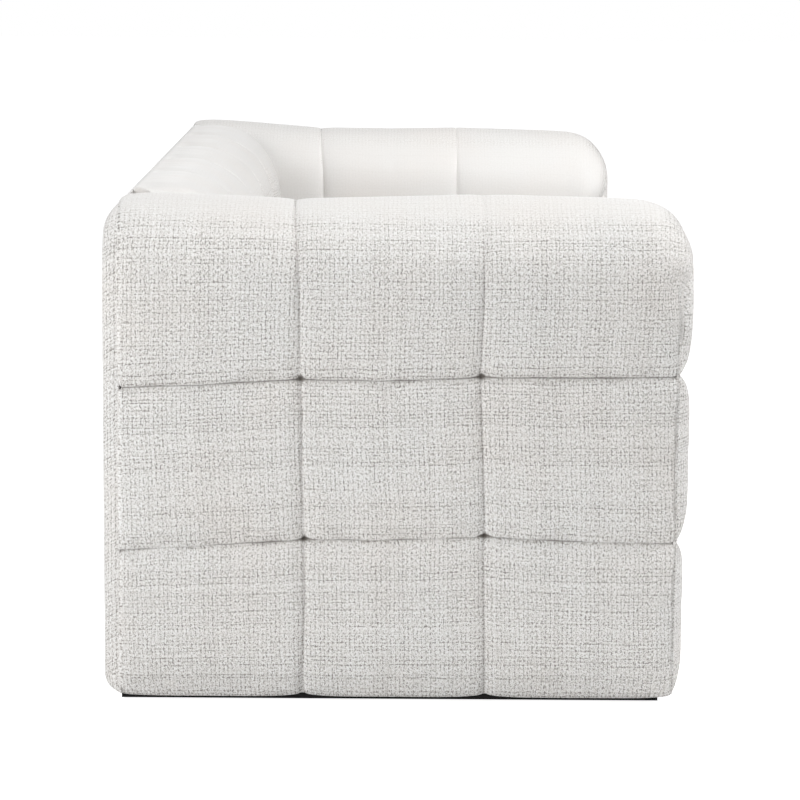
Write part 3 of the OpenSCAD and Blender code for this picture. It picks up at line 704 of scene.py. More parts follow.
@dataclass(frozen=True)
class Chenille(Finish):
    """Chunky cream chenille: fuzzy warp and weft yarns with small dark gaps between them."""

    warp: float = 6.4 * MM
    weft: float = 5.0 * MM
    gap: Colour = (0.27, 0.25, 0.235)
    yarn: Colour = (0.735, 0.717, 0.693)
    slub: Colour = (0.965, 0.964, 0.958)
    # thread is the near-black colour of the painted shade in the seams, deepest where the cloth is drawn in
    # most.
    thread: Colour = (0.10, 0.085, 0.07)
    warmth: Colour = (1.0, 0.955, 0.925)
    pile: Triple = (390.0, 260.0, 1.0)
    fine: float = 620.0
    fine_share: float = 0.8
    # The even pale tone that the weave fades to where contrast() is low: a painted highlight on the tops and
    # upper insides.
    painted_highlight_tone: float = 0.72
    height: float = 1.2 * MM
    level: float = 0.74
    speckle: float = 1.85
    yarn_tone: float = 0.09
    upright: float = 0.42
    lying: float = 0.6
    corner: float = 0.75
    calm_top: float = 0.72
    calm_between: float = 0.2
    calm_inside: float = 0.93
    calm_level: float = 0.4
    arms_x: Fade = (0.72, 0.80)
    tops_up: Fade = (0.66, 0.92)
    tops_z: Fade = (0.50, 0.62)
    rolled_up: Fade = (0.1, 0.6)
    rolled_z: Fade = (0.52, 0.64)
    facing: Fade = (0.3, 0.75)
    walls_z: Fade = (0.44, 0.62)
    level_up: Fade = (0.45, 0.9)
    seam_shade: float = 0.9

    def paint(self, n: Nodes) -> None:
        """Builds the fabric on the piece's cloth coordinates.

        Args:
            n: The node tree.
        """
        flat = n.cloth()
        u, v = self.yarn_places(n, flat)
        across, along = n.math("DIVIDE", u, self.warp), n.math("DIVIDE", v, self.weft)
        warp_gap, weft_gap = self.gap_line(n, across), self.gap_line(n, along)
        open_warp = self.openness(n, across, along, 3.0)
        open_weft = self.openness(n, along, across, 7.0)
        row = n.math("FLOOR", n.plus(along, 0.5))
        stretch = n.noise(n.join(n.times(u, 12.0), row), 1.0, 1.0)
        strong = n.times(n.random(row, 0.5, 9.0), n.times(stretch, 2.0))
        dark = n.plus(n.times(warp_gap, open_warp, self.upright),
                      n.times(weft_gap, open_weft, n.times(strong, self.lying)),
                      n.times(warp_gap, weft_gap, n.plus(strong, 0.3), self.corner))

        pile = n.noise(n.vector("MULTIPLY", flat, self.pile), 1.0, 1.0, roughness=0.6)
        fine = n.noise(flat, self.fine, 0.0)
        fuzz = n.plus(n.minus(pile, 0.5), n.times(n.minus(fine, 0.5), self.fine_share))
        tone = n.plus(n.random(n.math("FLOOR", across), 1.5, 2.0), n.random(n.math("FLOOR", along), 2.5, 4.0))
        body = n.minus(n.plus(self.level, n.times(fuzz, self.speckle)), dark)
        body = n.plus(body, n.times(n.minus(tone, 1.0), self.yarn_tone))
        # Painted highlight: where contrast() is low, the weave fades to the pale tone, as bright light would
        # wash it out.
        shown = n.mix(self.contrast(n), (self.painted_highlight_tone, self.painted_highlight_tone, self.painted_highlight_tone, 1.0), n.join(body, body, body))
        height = n.math("MULTIPLY", n.parts(shown)[0], 1.0, clamp=True)

        shade = n.ramp(shown, [(0.0, self.gap), (0.5, self.yarn), (1.0, self.slub)])
        warm = n.times(n.minus(n.noise(flat, 6.0, 2.0), 0.38, clamp=True), 1.1)
        tinted = n.mix(warm, shade, n.mix(1.0, shade, (*self.warmth, 1.0), "MULTIPLY"))
        # Painted shade: the seams darken towards the thread colour by the square of the crease attribute,
        # times seam_shade.
        drawn = n.times(n.math("POWER", n.crease(), 2.0), self.seam_shade)
        n.set(Base_Color=n.mix(drawn, tinted, (*self.thread, 1.0)),
              Roughness=0.92, Sheen_Weight=0.5, Sheen_Roughness=0.35, Specular_IOR_Level=0.12)
        n.bump(height, self.height, 0.5)

    @staticmethod
    def yarn_places(n: Nodes, flat: Socket) -> tuple[Socket, Socket]:
        """Cloth coordinates that waver as hand-spun yarns do, in rows of uneven thickness.

        Args:
            n: The node tree.
            flat: Flat cloth coordinates.

        Returns:
            The two wavering coordinates.
        """
        drift = n.vector("SUBTRACT", n.noise(flat, 14.0, 1.0, colour=True), (0.5, 0.5, 0.5))
        shake = n.vector("SUBTRACT", n.noise(flat, 120.0, 1.0, colour=True), (0.5, 0.5, 0.5))
        moved = n.vector("ADD", flat, n.vector("MULTIPLY", drift, (5 * MM, 5 * MM, 0.0)))
        moved = n.vector("ADD", moved, n.vector("MULTIPLY", shake, (1.2 * MM, 1.1 * MM, 0.0)))
        u, v, _ = n.parts(moved)
        wide = n.noise(n.join(n.times(u, 75.0), 3.3), 1.0, 0.0)
        tall = n.noise(n.join(7.7, n.times(v, 60.0)), 1.0, 0.0)
        return n.plus(u, n.times(wide, 3 * MM)), n.plus(v, n.times(tall, 6 * MM))

    @staticmethod
    def gap_line(n: Nodes, over: Socket) -> Socket:
        """The dark line between neighbouring yarns: (2x - 1)^4 across a yarn.

        Args:
            n: The node tree.
            over: Place across the yarns, in yarns.

        Returns:
            1 between two yarns and 0 on a yarn's back.
        """
        side = n.minus(n.times(n.math("FRACT", over), 2.0), 1.0)
        square = n.times(side, side)
        return n.times(square, square)

    @staticmethod
    def openness(n: Nodes, over: Socket, beside: Socket, seed: float) -> Socket:
        """How open the gap is at each crossing: a random value, cut where a yarn passes over.

        Args:
            n: The node tree.
            over: Place across the yarns, in yarns.
            beside: Place along the yarns, in crossings.
            seed: Third part of the random vector.

        Returns:
            The openness.
        """
        along = n.minus(n.times(n.math("FRACT", beside), 2.0), 1.0)
        cut = n.minus(1.0, n.times(along, along, 0.5))
        mark = n.random(n.math("FLOOR", n.plus(over, 0.5)), n.math("FLOOR", beside), seed)
        return n.times(cut, n.plus(n.times(mark, 0.9), 0.35))

    def contrast(self, n: Nodes) -> Socket:
        """How strongly the weave shows.

        Painted highlight: the weave fades towards an even pale tone where the cloth faces up along
        the sofa's top edge, most of all between the arms, and on the upper inside of the arms.

        Args:
            n: The node tree.

        Returns:
            1 for the full weave, and less on the tops.
        """
        side, _, up = n.parts(n.make("NewGeometry", {}, "Normal"))
        x, _, z = n.parts(n.place())
        between = n.minus(1.0, n.rise(n.math("ABSOLUTE", x), *self.arms_x))
        tops = n.times(n.rise(up, *self.tops_up), n.rise(z, *self.tops_z),
                       n.plus(n.times(between, self.calm_between), self.calm_top))
        rolled = n.times(n.rise(up, *self.rolled_up), n.rise(z, *self.rolled_z), between)
        inwards = n.rise(n.times(n.math("SIGN", x), n.times(side, -1.0)), *self.facing)
        ends = n.times(n.rise(n.math("ABSOLUTE", side), *self.facing), between)
        walls = n.times(n.most(inwards, ends), n.rise(z, *self.walls_z))
        inside = n.times(n.most(walls, rolled), self.calm_inside)
        level = n.times(n.rise(up, *self.level_up), self.calm_level)
        return n.minus(1.0, n.most(tops, inside, level))


@dataclass(frozen=True)
class Wood(Finish):
    """Bare hardwood or plywood, with grain along X."""

    light: Colour
    dark: Colour
    grain: Triple = (6.0, 90.0, 90.0)
    roughness: float = 0.62

    def paint(self, n: Nodes) -> None:
        """Builds the wood from rings and pores that are stretched along the grain.

        Args:
            n: The node tree.
        """
        stretched = n.vector("MULTIPLY", n.place(), self.grain)
        rings = n.noise(stretched, 1.0, 4.0, roughness=0.6)
        body = n.plus(n.times(rings, 0.75), n.times(n.noise(stretched, 6.0, 2.0), 0.25))
        n.set(Base_Color=n.ramp(body, [(0.32, self.dark), (0.62, self.light)]), Roughness=self.roughness)
        n.bump(body, 0.3 * MM, 0.6)


@dataclass(frozen=True)
class Grain(Finish):
    """A finish of one colour with fine lumps: foam, felt, plastic, paint or metal."""

    light: Colour
    dark: Colour
    scale: float
    height: float
    roughness: float
    metallic: float = 0.0
    sheen: float = 0.0
    specular: float = 0.5

    def paint(self, n: Nodes) -> None:
        """Builds the finish from one noise.

        Args:
            n: The node tree.
        """
        lumps = n.noise(n.place(), self.scale, 3.0, roughness=0.65)
        n.set(Base_Color=n.ramp(lumps, [(0.33, self.dark), (0.66, self.light)]),
              Roughness=self.roughness, Metallic=self.metallic, Sheen_Weight=self.sheen,
              Specular_IOR_Level=self.specular)
        n.bump(lumps, self.height, 0.8)


@dataclass(frozen=True)
class PlainWeave(Finish):
    """A thin woven cloth, such as deck cloth or webbing, from crossed ribs."""

    light: Colour
    dark: Colour
    pitch: float
    on_cloth: bool = False

    def paint(self, n: Nodes) -> None:
        """Builds the cloth from the product of two rows of ribs.

        Args:
            n: The node tree.
        """
        x, y, z = n.parts(n.cloth() if self.on_cloth else n.place())
        side = y if self.on_cloth else n.plus(y, z)
        ribs = [n.math("SINE", n.times(part, math.tau / self.pitch)) for part in (x, side)]
        body = n.plus(n.times(*ribs, 0.35), n.noise(n.place(), 900.0, 2.0))
        n.set(Base_Color=n.ramp(body, [(0.2, self.dark), (0.75, self.light)]), Roughness=0.9,
              Sheen_Weight=0.15)
        n.bump(body, 0.4 * MM, 0.6)


FINISHES = {
    "upholstery": Chenille(),
    "deck_cloth": PlainWeave((0.76, 0.74, 0.70), (0.60, 0.58, 0.54), 1.6 * MM, on_cloth=True),
    "zip_tape": PlainWeave((0.74, 0.72, 0.68), (0.52, 0.50, 0.46), 1.2 * MM),
    "foam": Grain((0.90, 0.84, 0.62), (0.78, 0.70, 0.46), 900.0, 0.5 * MM, 0.95),
    "felt": Grain((0.56, 0.54, 0.50), (0.36, 0.34, 0.31), 600.0, 0.6 * MM, 0.95, sheen=0.2),
    "webbing": PlainWeave((0.54, 0.48, 0.40), (0.34, 0.29, 0.23), 3.0 * MM),
    "twine": Grain((0.82, 0.79, 0.72), (0.60, 0.56, 0.48), 1500.0, 0.2 * MM, 0.85),
    "hardwood": Wood((0.74, 0.58, 0.40), (0.56, 0.40, 0.24)),
    "plywood": Wood((0.70, 0.54, 0.36), (0.50, 0.36, 0.21), (8.0, 8.0, 700.0)),
    "plinth": Grain((0.012, 0.011, 0.011), (0.005, 0.005, 0.005), 500.0, 0.15 * MM, 0.6, specular=0.12),
    "glide": Grain((0.02, 0.02, 0.02), (0.01, 0.01, 0.01), 700.0, 0.1 * MM, 0.5),
    "dust_cover": Grain((0.035, 0.035, 0.038), (0.012, 0.012, 0.014), 700.0, 0.3 * MM, 0.95, sheen=0.1),
    "spring_steel": Grain((0.42, 0.43, 0.45), (0.22, 0.22, 0.24), 300.0, 0.05 * MM, 0.38, 1.0),
    "zinc_steel": Grain((0.72, 0.72, 0.70), (0.55, 0.56, 0.58), 250.0, 0.05 * MM, 0.34, 1.0),
}


class Wardrobe:
    """The materials by slot, each made once."""

    def __init__(self, record: dict) -> None:
        """Makes a material for every slot that the record names.

        Args:
            record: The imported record.
        """
        self.slots = {row["slot"]: FINISHES[row["slot"]].material(row["slot"]) for row in record["materials"]}
        self.slot_of = {row["node"]: row["material_slot"] for row in record["subparts"]}

    def dress_node(self, node: bpy.types.Object) -> None:
        """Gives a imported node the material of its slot."""
        node.data.materials.clear()
        node.data.materials.append(self.slots[self.slot_of[node.name]])

    def dress(self, obj: bpy.types.Object, slot: str, body: Body, *nodes: str) -> None:
        """Gives a new piece its material, body and the nodes that it stands for.

        Args:
            obj: The piece.
            slot: The material slot.
            body: The body that it rides on.
            nodes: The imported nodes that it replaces.
        """
        obj.data.materials.append(self.slots[slot])
        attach(obj, body.value)
        if nodes:
            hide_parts(*nodes)
        log.info("%s: %d points", obj.name, len(obj.data.vertices))

    def upholster(self, sewn: SewnMesh, body: Body, node: str, settle: bool = True) -> None:
        """Sews, settles and dresses a padded cover.

        Args:
            sewn: Its panels.
            body: The body that it rides on.
            node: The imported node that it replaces.
            settle: Whether its fabric settles between the seams.
        """
        obj, held = sewn.build()
        if settle:
            Settling().apply(obj, held)
        modifier = obj.modifiers.new("smoothing", "SUBSURF")
        modifier.levels = modifier.render_levels = 1
        self.dress(obj, "upholstery", body, node)


@dataclass
class Seams:
    """Seam places of the whole sofa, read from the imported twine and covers."""

    crown: float = 12 * MM
    front_crown: float = 20 * MM
    twine_r: float = 1 * MM
    lean_z: tuple[float, ...] = (
        0.046, 0.12, 0.184, 0.28, 0.35, 0.417, 0.484, 0.533, 0.59, 0.64, 0.672, 0.714)
    rear_lean: tuple[float, ...] = (-4.4, -7.3, -7.3, -5.8, -2.9, -2.9, 0.0, 0.0, 1.5, 2.9, 5.8, 10.0)
    front_lean: tuple[float, ...] = (-4.4, -2.9, -1.5, -1.5, 1.5, 4.4, 5.8, 4.4, 2.9, 2.9, 2.9, 3.0)
    lean_margin: float = 30 * MM
    rear_rise: tuple[float, float] = (1 * MM, 15 * MM)
    front_fall: tuple[float, float] = (-2 * MM, -6 * MM)
    half_length: float = 0.95
    half_depth: float = 0.41
    wander_y: tuple[float, ...] = (-0.40, -0.26, -0.125, 0.0, 0.14, 0.28, 0.40)
    low_wander: tuple[float, ...] = (-3 * MM, -1 * MM, 5 * MM, 0.0, -1 * MM, -10 * MM, -18 * MM)
    high_wander: tuple[float, ...] = (9 * MM, 6 * MM, 6 * MM, 1 * MM, 1 * MM, -7 * MM, -12 * MM)
    base: float = field(init=False)
    low: float = field(init=False)
    high: float = field(init=False)
    top: float = field(init=False)
    arm_front: float = field(init=False)
    arm_rear: float = field(init=False)
    back_x: list[float] = field(init=False)

    def __post_init__(self) -> None:
        """Reads the frame."""
        tie_low, tie_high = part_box("left_arm_tufting_twine")
        cover_low, cover_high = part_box("left_arm_cover")
        back_low, back_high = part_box("back_tufting_twine")
        self.base = cover_low.z
        self.low, self.high = tie_low.z + self.twine_r, tie_high.z - self.twine_r
        self.top = cover_high.z - self.crown
        self.arm_front, self.arm_rear = tie_low.y + self.twine_r, tie_high.y - self.twine_r
        first, last = back_low.x + self.twine_r, back_high.x - self.twine_r
        self.back_x = np.linspace(first, last, 4).tolist()

    def near_top(self, start: Array, full: Array, z: Array) -> Array:
        """A smooth rise between two depths below the top edge, 0 under the first."""
        return smooth_step(self.top - start, self.top - full, z)

    def wander(self, y: Array, z: Array) -> Array:
        """How far the arms' sewn rows stray from level, as hand-pulled seams do.

        Each seam's straying is read along the depth from its table, and fades linearly to
        none at the foot and at the roll.

        Args:
            y: Depth places.
            z: Heights.

        Returns:
            The height to add.
        """
        low = np.interp(y, self.wander_y, self.low_wander)
        high = np.interp(y, self.wander_y, self.high_wander)
        over = share_of(self.low, self.high, z)
        low = low * share_of(self.base, self.low, z) * (1 - over)
        return low + high * over * share_of(self.top, self.high, z)

    def lean(self, y: Array, z: Array) -> Array:
        """How far the arms' sewn columns stray from upright, as hand-pulled seams do.

        Each seam's straying is read up the height from its table, and fades linearly to none
        at the neighbouring seams and edges.

        Args:
            y: Depth places.
            z: Heights.

        Returns:
            The depth to add.
        """
        edge = self.half_depth - self.lean_margin
        front = np.interp(y, [-edge, self.arm_front, self.arm_rear], [0.0, 1.0, 0.0])
        rear = np.interp(y, [self.arm_front, self.arm_rear, edge], [0.0, 1.0, 0.0])
        return MM * (front * np.interp(z, self.lean_z, self.front_lean)
                     + rear * np.interp(z, self.lean_z, self.rear_lean))

    def crest(self, x: Array, y: Array, z: Array) -> Array:
        """How far the fuller rear pillows lift the top edge, and the softer front ones lower it.

        The rise is linear along the depth from front to rear and along the sofa from the left
        end to the right end, and fades smoothly from the top down to the high seam.

        Args:
            x: Places along the sofa.
            y: Depth places.
            z: Heights.

        Returns:
            The height to add.
        """
        share = share_of(-self.half_length, self.half_length, x)
        behind, ahead = (low + (high - low) * share for low, high in (self.rear_rise, self.front_fall))
        slope = behind * share_of(0.0, self.half_depth, y) + ahead * share_of(0.0, self.half_depth, -y)
        return slope * smooth_step(self.high, self.top, z)


@dataclass
class ArmCover:
    """One arm: three columns by three rows of pillows, rolled over the top and front."""

    side: Side
    seams: Seams
    tufting: Tufting = field(default_factory=Tufting)
    roll: float = 105 * MM
    front_roll: float = 72 * MM
    rear_roll: float = 45 * MM
    corner: float = 9 * MM
    dome: float = 1 * MM
    front_crowns: tuple[float, float, float] = (12 * MM, 17 * MM, 20 * MM)
    row_sink: float = 5 * MM
    column_sink: float = 1.5 * MM
    # corner_line is the strength of the painted shade line just inside the front corner seam; line_fade and
    # line_inset place it.
    corner_line: float = 0.62
    line_fade: Fade = (125 * MM, 90 * MM)
    line_inset: float = 3 * MM
    outer_fade: Fade = (125 * MM, 80 * MM)
    inner_fade: Fade = (155 * MM, 90 * MM)
    thread_fade: Fade = (110 * MM, 20 * MM)
    thread_loss: float = 0.8
    inner_loss: float = 0.9
    inner_thread: float = 0.6
    ease_fade: Fade = (110 * MM, 10 * MM)
    rear_fade: Fade = (80 * MM, 20 * MM)
    rear_run: float = 50 * MM
    rear_over: float = 60 * MM
    hidden: float = 20 * MM
    rear_ease: float = 0.5
    ease: tuple[float, float] = (0.85, 0.5)
    sag: float = 9 * MM
    sag_reach: float = 12 * MM
    tuck: float = 10 * MM
    held_rear: float = 8 * MM
    held_foot: int = 3
    held_roll: int = 8
    welt_r: float = 2.8 * MM
    welt_fade: float = 50 * MM
    welt_inset: float = 1.2 * MM
    welt_sink: float = 3.5 * MM
    welt_turn: float = 0.35
    beside_front: tuple[float, ...] = (0.5, 1.0, 10.5, 16.0, 23.0, 31.5, 36.0, 41.0, 54.0, 68.0)

    def __post_init__(self) -> None:
        """Works out the arm's box from the frame."""
        self.name = f"{self.side.name.lower()}_arm"
        low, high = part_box(f"{self.name}_cover")
        self.half = (high.x - low.x) / 2 - self.seams.crown
        self.middle = (high.x + low.x) / 2
        self.front = low.y + self.seams.front_crown
        self.rear = high.y
        self.outside_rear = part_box("outside_back_panel")[1].y
        self.sewn_rows = [self.seams.low, self.seams.high]
        self.sewn_columns = [self.seams.arm_front, self.seams.arm_rear]
        self.rows = self.tufting.stations([self.seams.base, *self.sewn_rows])
        low_index = int(np.argmin(np.abs(self.rows - self.seams.low)))
        self.row_index = [low_index, len(self.rows) - 1]

    def stations(self) -> Array:
        """Places along the depth, close together where the front rolls."""
        places = self.tufting.stations([self.front, *self.sewn_columns, self.rear])
        return np.unique(np.round([*places, *(self.front + np.array(self.beside_front) * MM)], 6))

    def section(self, y: Array) -> tuple[Array, Array]:
        """The section at every station: up the outside, over the top and down the inside.

        The outside rises straight to the roll, the roll is a quarter circle, and the flat
        between the two rolls has a slight dome. The top falls away at the front and rear
        along quarter circles.

        Args:
            y: The stations.

        Returns:
            Outwards places and heights, each stations by section points.
        """
        s, beside = self.seams, y[:, None] - self.front
        behind = self.outside_rear - y[:, None]
        top = s.top - quarter_drop(beside, self.front_roll) - quarter_drop(behind, self.rear_roll)
        half = self.half - quarter_drop(beside, self.corner)
        rise = np.array([0.02, 0.05, 0.09, 0.15, 0.24, 0.36, 0.5, 0.66, 0.83])
        turn = np.radians(np.linspace(0, 90, 11))
        flat = np.array([0.5, 0.0])
        roll_z = top - self.roll
        z = np.concatenate([self.rows * np.ones_like(top), s.high + rise * (roll_z - s.high),
                            roll_z + self.roll * np.sin(turn), top + self.dome * (1 - flat**2)], axis=1)
        w = np.concatenate([half * np.ones(len(self.rows) + len(rise)),
                            half - self.roll * (1 - np.cos(turn)), (half - self.roll) * flat], axis=1)
        z = np.concatenate([z, z[:, -2::-1]], axis=1)
        w = np.concatenate([w, -w[:, -2::-1]], axis=1)
        return np.where(w > 0, w - tucked(z - s.base, self.tuck), w), z

    def loft(self) -> Loft:
        """The whole arm as a loft along the depth.

        Returns:
            The loft.
        """
        s, t = self.seams, self.tufting
        y = self.stations()
        w, z = self.section(y)
        inner = self.inner(z)
        deep = np.broadcast_to(y[:, None], z.shape)
        points = np.stack([self.middle + self.side.value * w, deep, z], axis=-1)
        s_arc = arc_lengths(points)
        columns = self.column_swell(deep, z)
        rows, row_of = self.row_swell(s_arc)
        crown = s.crown + (self.front_crowns[-1] - s.crown) * self.shoulder(deep, z)
        crown = np.where((row_of == 0) & inner, 0.0, np.clip(crown - t.give, 0.0, None))
        lift = crown * columns * rows * uneven(deep, s_arc, 3 + self.side.value) - self.thread(deep, z)

        hang = t.hang(z, self.sewn_rows) * columns * np.where(inner & (z < s.high - self.hidden), 0.0, 1.0)
        fall = hang + self.foot_sag(z, columns) + s.crest(points[..., 0], deep, z)
        points[..., 2] = z + s.wander(deep, z) + fall
        points[..., 1] = deep + s.lean(deep, z)
        along = np.cumsum(np.linalg.norm(np.diff(points, axis=0, prepend=points[:1]), axis=-1), axis=0)
        along = along + (s.arm_front - along[np.argmin(np.abs(y - s.arm_front))])
        cloth = np.stack([along, s_arc + 0.31 * self.side.value], axis=-1)

        half_count = (z.shape[1] + 1) // 2
        crowns = np.clip(np.array(self.front_crowns) - t.give, 0.0, None)[row_of[0][:half_count]]
        front_z = z[0][:half_count]
        front_lift = crowns * rows[0][:half_count] - t.sink(front_z, self.sewn_rows, self.row_sink)
        width = 2 * self.half
        shares = t.stations([0.0, width]) / width
        # A painted shade line just inside the front corner seam, on the outside of the arm only and fading
        # towards the top; it changes only the colour.
        line = t.sink(deep, [self.front + self.line_inset], self.corner_line)
        line = line * (1 - s.near_top(*self.line_fade, z))
        return Loft(points, cloth, lift, self.pinned(y, z.shape[1]), half_count, shares,
                    (front_lift, np.zeros(half_count)), t.swell(shares * width, [0.0, width]),
                    0, (False, True), t.hang(front_z, self.sewn_rows), line * ~inner)

    @staticmethod
    def inner(z: Array) -> Array:
        """Which section points are on the inside of the arm."""
        return np.arange(z.shape[1])[None, :] > z.shape[1] // 2

    def thread(self, deep: Array, z: Array) -> Array:
        """How deep thread pulls the cloth in, at the rows, columns, crossings and front corner.

        Args:
            deep: Depth places, stations by section points.
            z: Heights.

        Returns:
            The depth at each point.
        """
        s, t, inner = self.seams, self.tufting, self.inner(z)
        loss = self.thread_loss * s.near_top(*self.thread_fade, z)
        faint = 1 - loss * np.where(inner, 1.0, self.inner_loss)
        faint = faint * np.where(inner & (z > s.high), self.inner_thread, 1.0)
        upright = t.sink(deep, self.sewn_columns, self.column_sink) * faint
        corner = t.sink(deep, [self.front], self.column_sink) * (1 - self.shoulder(deep, z))
        pits = t.pits(deep, z, self.sewn_columns, self.sewn_rows)
        return pits + t.sink(z, self.sewn_rows, self.row_sink) + upright + corner

    def shoulder(self, deep: Array, z: Array) -> Array:
        """Where the front corner has rolled over, so that no seam draws it in.

        Args:
            deep: Depth places.
            z: Heights.

        Returns:
            0 where the seam draws the corner in, up to 1 where it has rolled over.
        """
        inner = self.inner(z)
        start, full = (np.where(inner, *pair) for pair in zip(self.inner_fade, self.outer_fade))
        fade = self.seams.near_top(start, full, z)
        return fade * (1 - smooth_step(self.front, self.front + self.front_roll, deep))

    def foot_sag(self, z: Array, columns: Array) -> Array:
        """How far the cover's lower lip hangs: sag (1 - exp(-8h)) exp(-h), h in sag reaches."""
        above = (z - self.seams.base) / self.sag_reach
        return -self.sag * columns * (1 - np.exp(-8.0 * above)) * np.exp(-above) * (above < 4.0)

    def column_swell(self, deep: Array, z: Array) -> Array:
        """Rise of the columns of pillows, full over the rolled front and rear corners.

        Args:
            deep: Depth places.
            z: Heights.

        Returns:
            0 at a seam, up to 1 over the middle of a pillow.
        """
        s = self.seams
        columns = self.tufting.swell(deep, [self.front, *self.sewn_columns, self.rear])
        ease = np.interp(deep, self.sewn_columns, self.ease)
        columns = 1 - (1 - columns) * (1 - ease * s.near_top(*self.ease_fade, z))
        behind = self.rear_ease * smooth_step(self.rear - self.rear_run, self.rear, deep)
        columns = 1 - (1 - columns) * (1 - behind)
        over = smooth_step(self.rear - self.rear_over, self.rear, deep) * s.near_top(*self.rear_fade, z)
        return np.maximum(columns, np.maximum(self.shoulder(deep, z), over))

    def row_swell(self, s_arc: Array) -> tuple[Array, Array]:
        """Rise of the rows of pillows by distance along the section.

        Args:
            s_arc: Distances along the section, stations by section points.

        Returns:
            The rise, and which row each point is in.
        """
        count = s_arc.shape[1]
        low, high = self.row_index
        ends = [0, low, high, count - 1 - high, count - 1 - low, count - 1]
        swell = np.stack([self.tufting.swell(line, line[ends].tolist()) for line in s_arc])
        mirrored = np.minimum(np.arange(count), count - 1 - np.arange(count))
        row_of = np.where(mirrored < low, 0, np.where(mirrored < high, 1, 2))
        return swell, np.broadcast_to(row_of[None, :], s_arc.shape)

    def pinned(self, y: Array, count: int) -> Array:
        """Which points of the wrap stay put: the seams, the corner seam, the foot and the rear.

        Args:
            y: The stations.
            count: How many points a section has.

        Returns:
            Stations by section points.
        """
        low, high = self.row_index
        held = np.zeros((len(y), count), bool)
        held[np.isin(y, self.sewn_columns) | (y >= self.rear - self.held_rear)] = True
        held[:, [low, high, count - 1 - high, count - 1 - low]] = True
        held[:, :self.held_foot] = held[:, -self.held_foot:] = True
        mirrored = np.minimum(np.arange(count), count - 1 - np.arange(count))
        held[0] |= mirrored < high + self.held_roll
        return held

    def welt(self, sign: int) -> SewnMesh:
        """The cord sewn into one upright front corner: a tube that sinks away at the roll.

        Args:
            sign: 1 for the outer corner, -1 for the inner one.

        Returns:
            The cord.
        """
        s = self.seams
        z = np.linspace(s.base + 8 * MM, s.top - self.roll - 2 * MM, 120)
        fade = s.near_top(self.roll + self.welt_fade, self.roll, z)
        inward = self.welt_inset + self.welt_sink * fade
        turned = self.corner * self.welt_turn
        half = self.half - turned - inward - tucked(z - s.base, self.tuck) * (sign > 0)
        around = np.linspace(0, math.tau, 13)
        radius = self.welt_r * (1 - 0.35 * fade)[:, None]
        x = self.middle + self.side.value * (sign * half[:, None] + radius * np.cos(around))
        y = self.front + turned + inward[:, None] * 0.3 + radius * np.sin(around)
        up = z[:, None] + s.wander(np.full_like(z, self.front), z)[:, None] + 0 * x
        grid = np.stack([x, y, up], axis=-1)
        ends = np.repeat(grid.mean(axis=1, keepdims=True), grid.shape[1], axis=1)
        grid = np.concatenate([ends[:1], grid, ends[-1:]])
        along = np.concatenate([z[:1], z, z[-1:]])[:, None] + 0 * grid[..., 0]
        cloth = np.stack([around[None, :] * self.welt_r + 0 * along, along + 1.3], axis=-1)
        place = "outer" if sign > 0 else "inner"
        return SewnMesh(f"{self.name}_welt_{place}", [Patch.still(grid, cloth)])

    def build(self, wardrobe: Wardrobe) -> None:
        """Makes, settles and dresses the cover and its welts.

        Args:
            wardrobe: The materials.
        """
        cover = SewnMesh(f"{self.name}_upholstery", self.loft().patches())
        wardrobe.upholster(cover, Body.SOFA, f"{self.name}_cover")
        for sign in (1, -1):
            wardrobe.dress(self.welt(sign).build()[0], "upholstery", Body.SOFA)


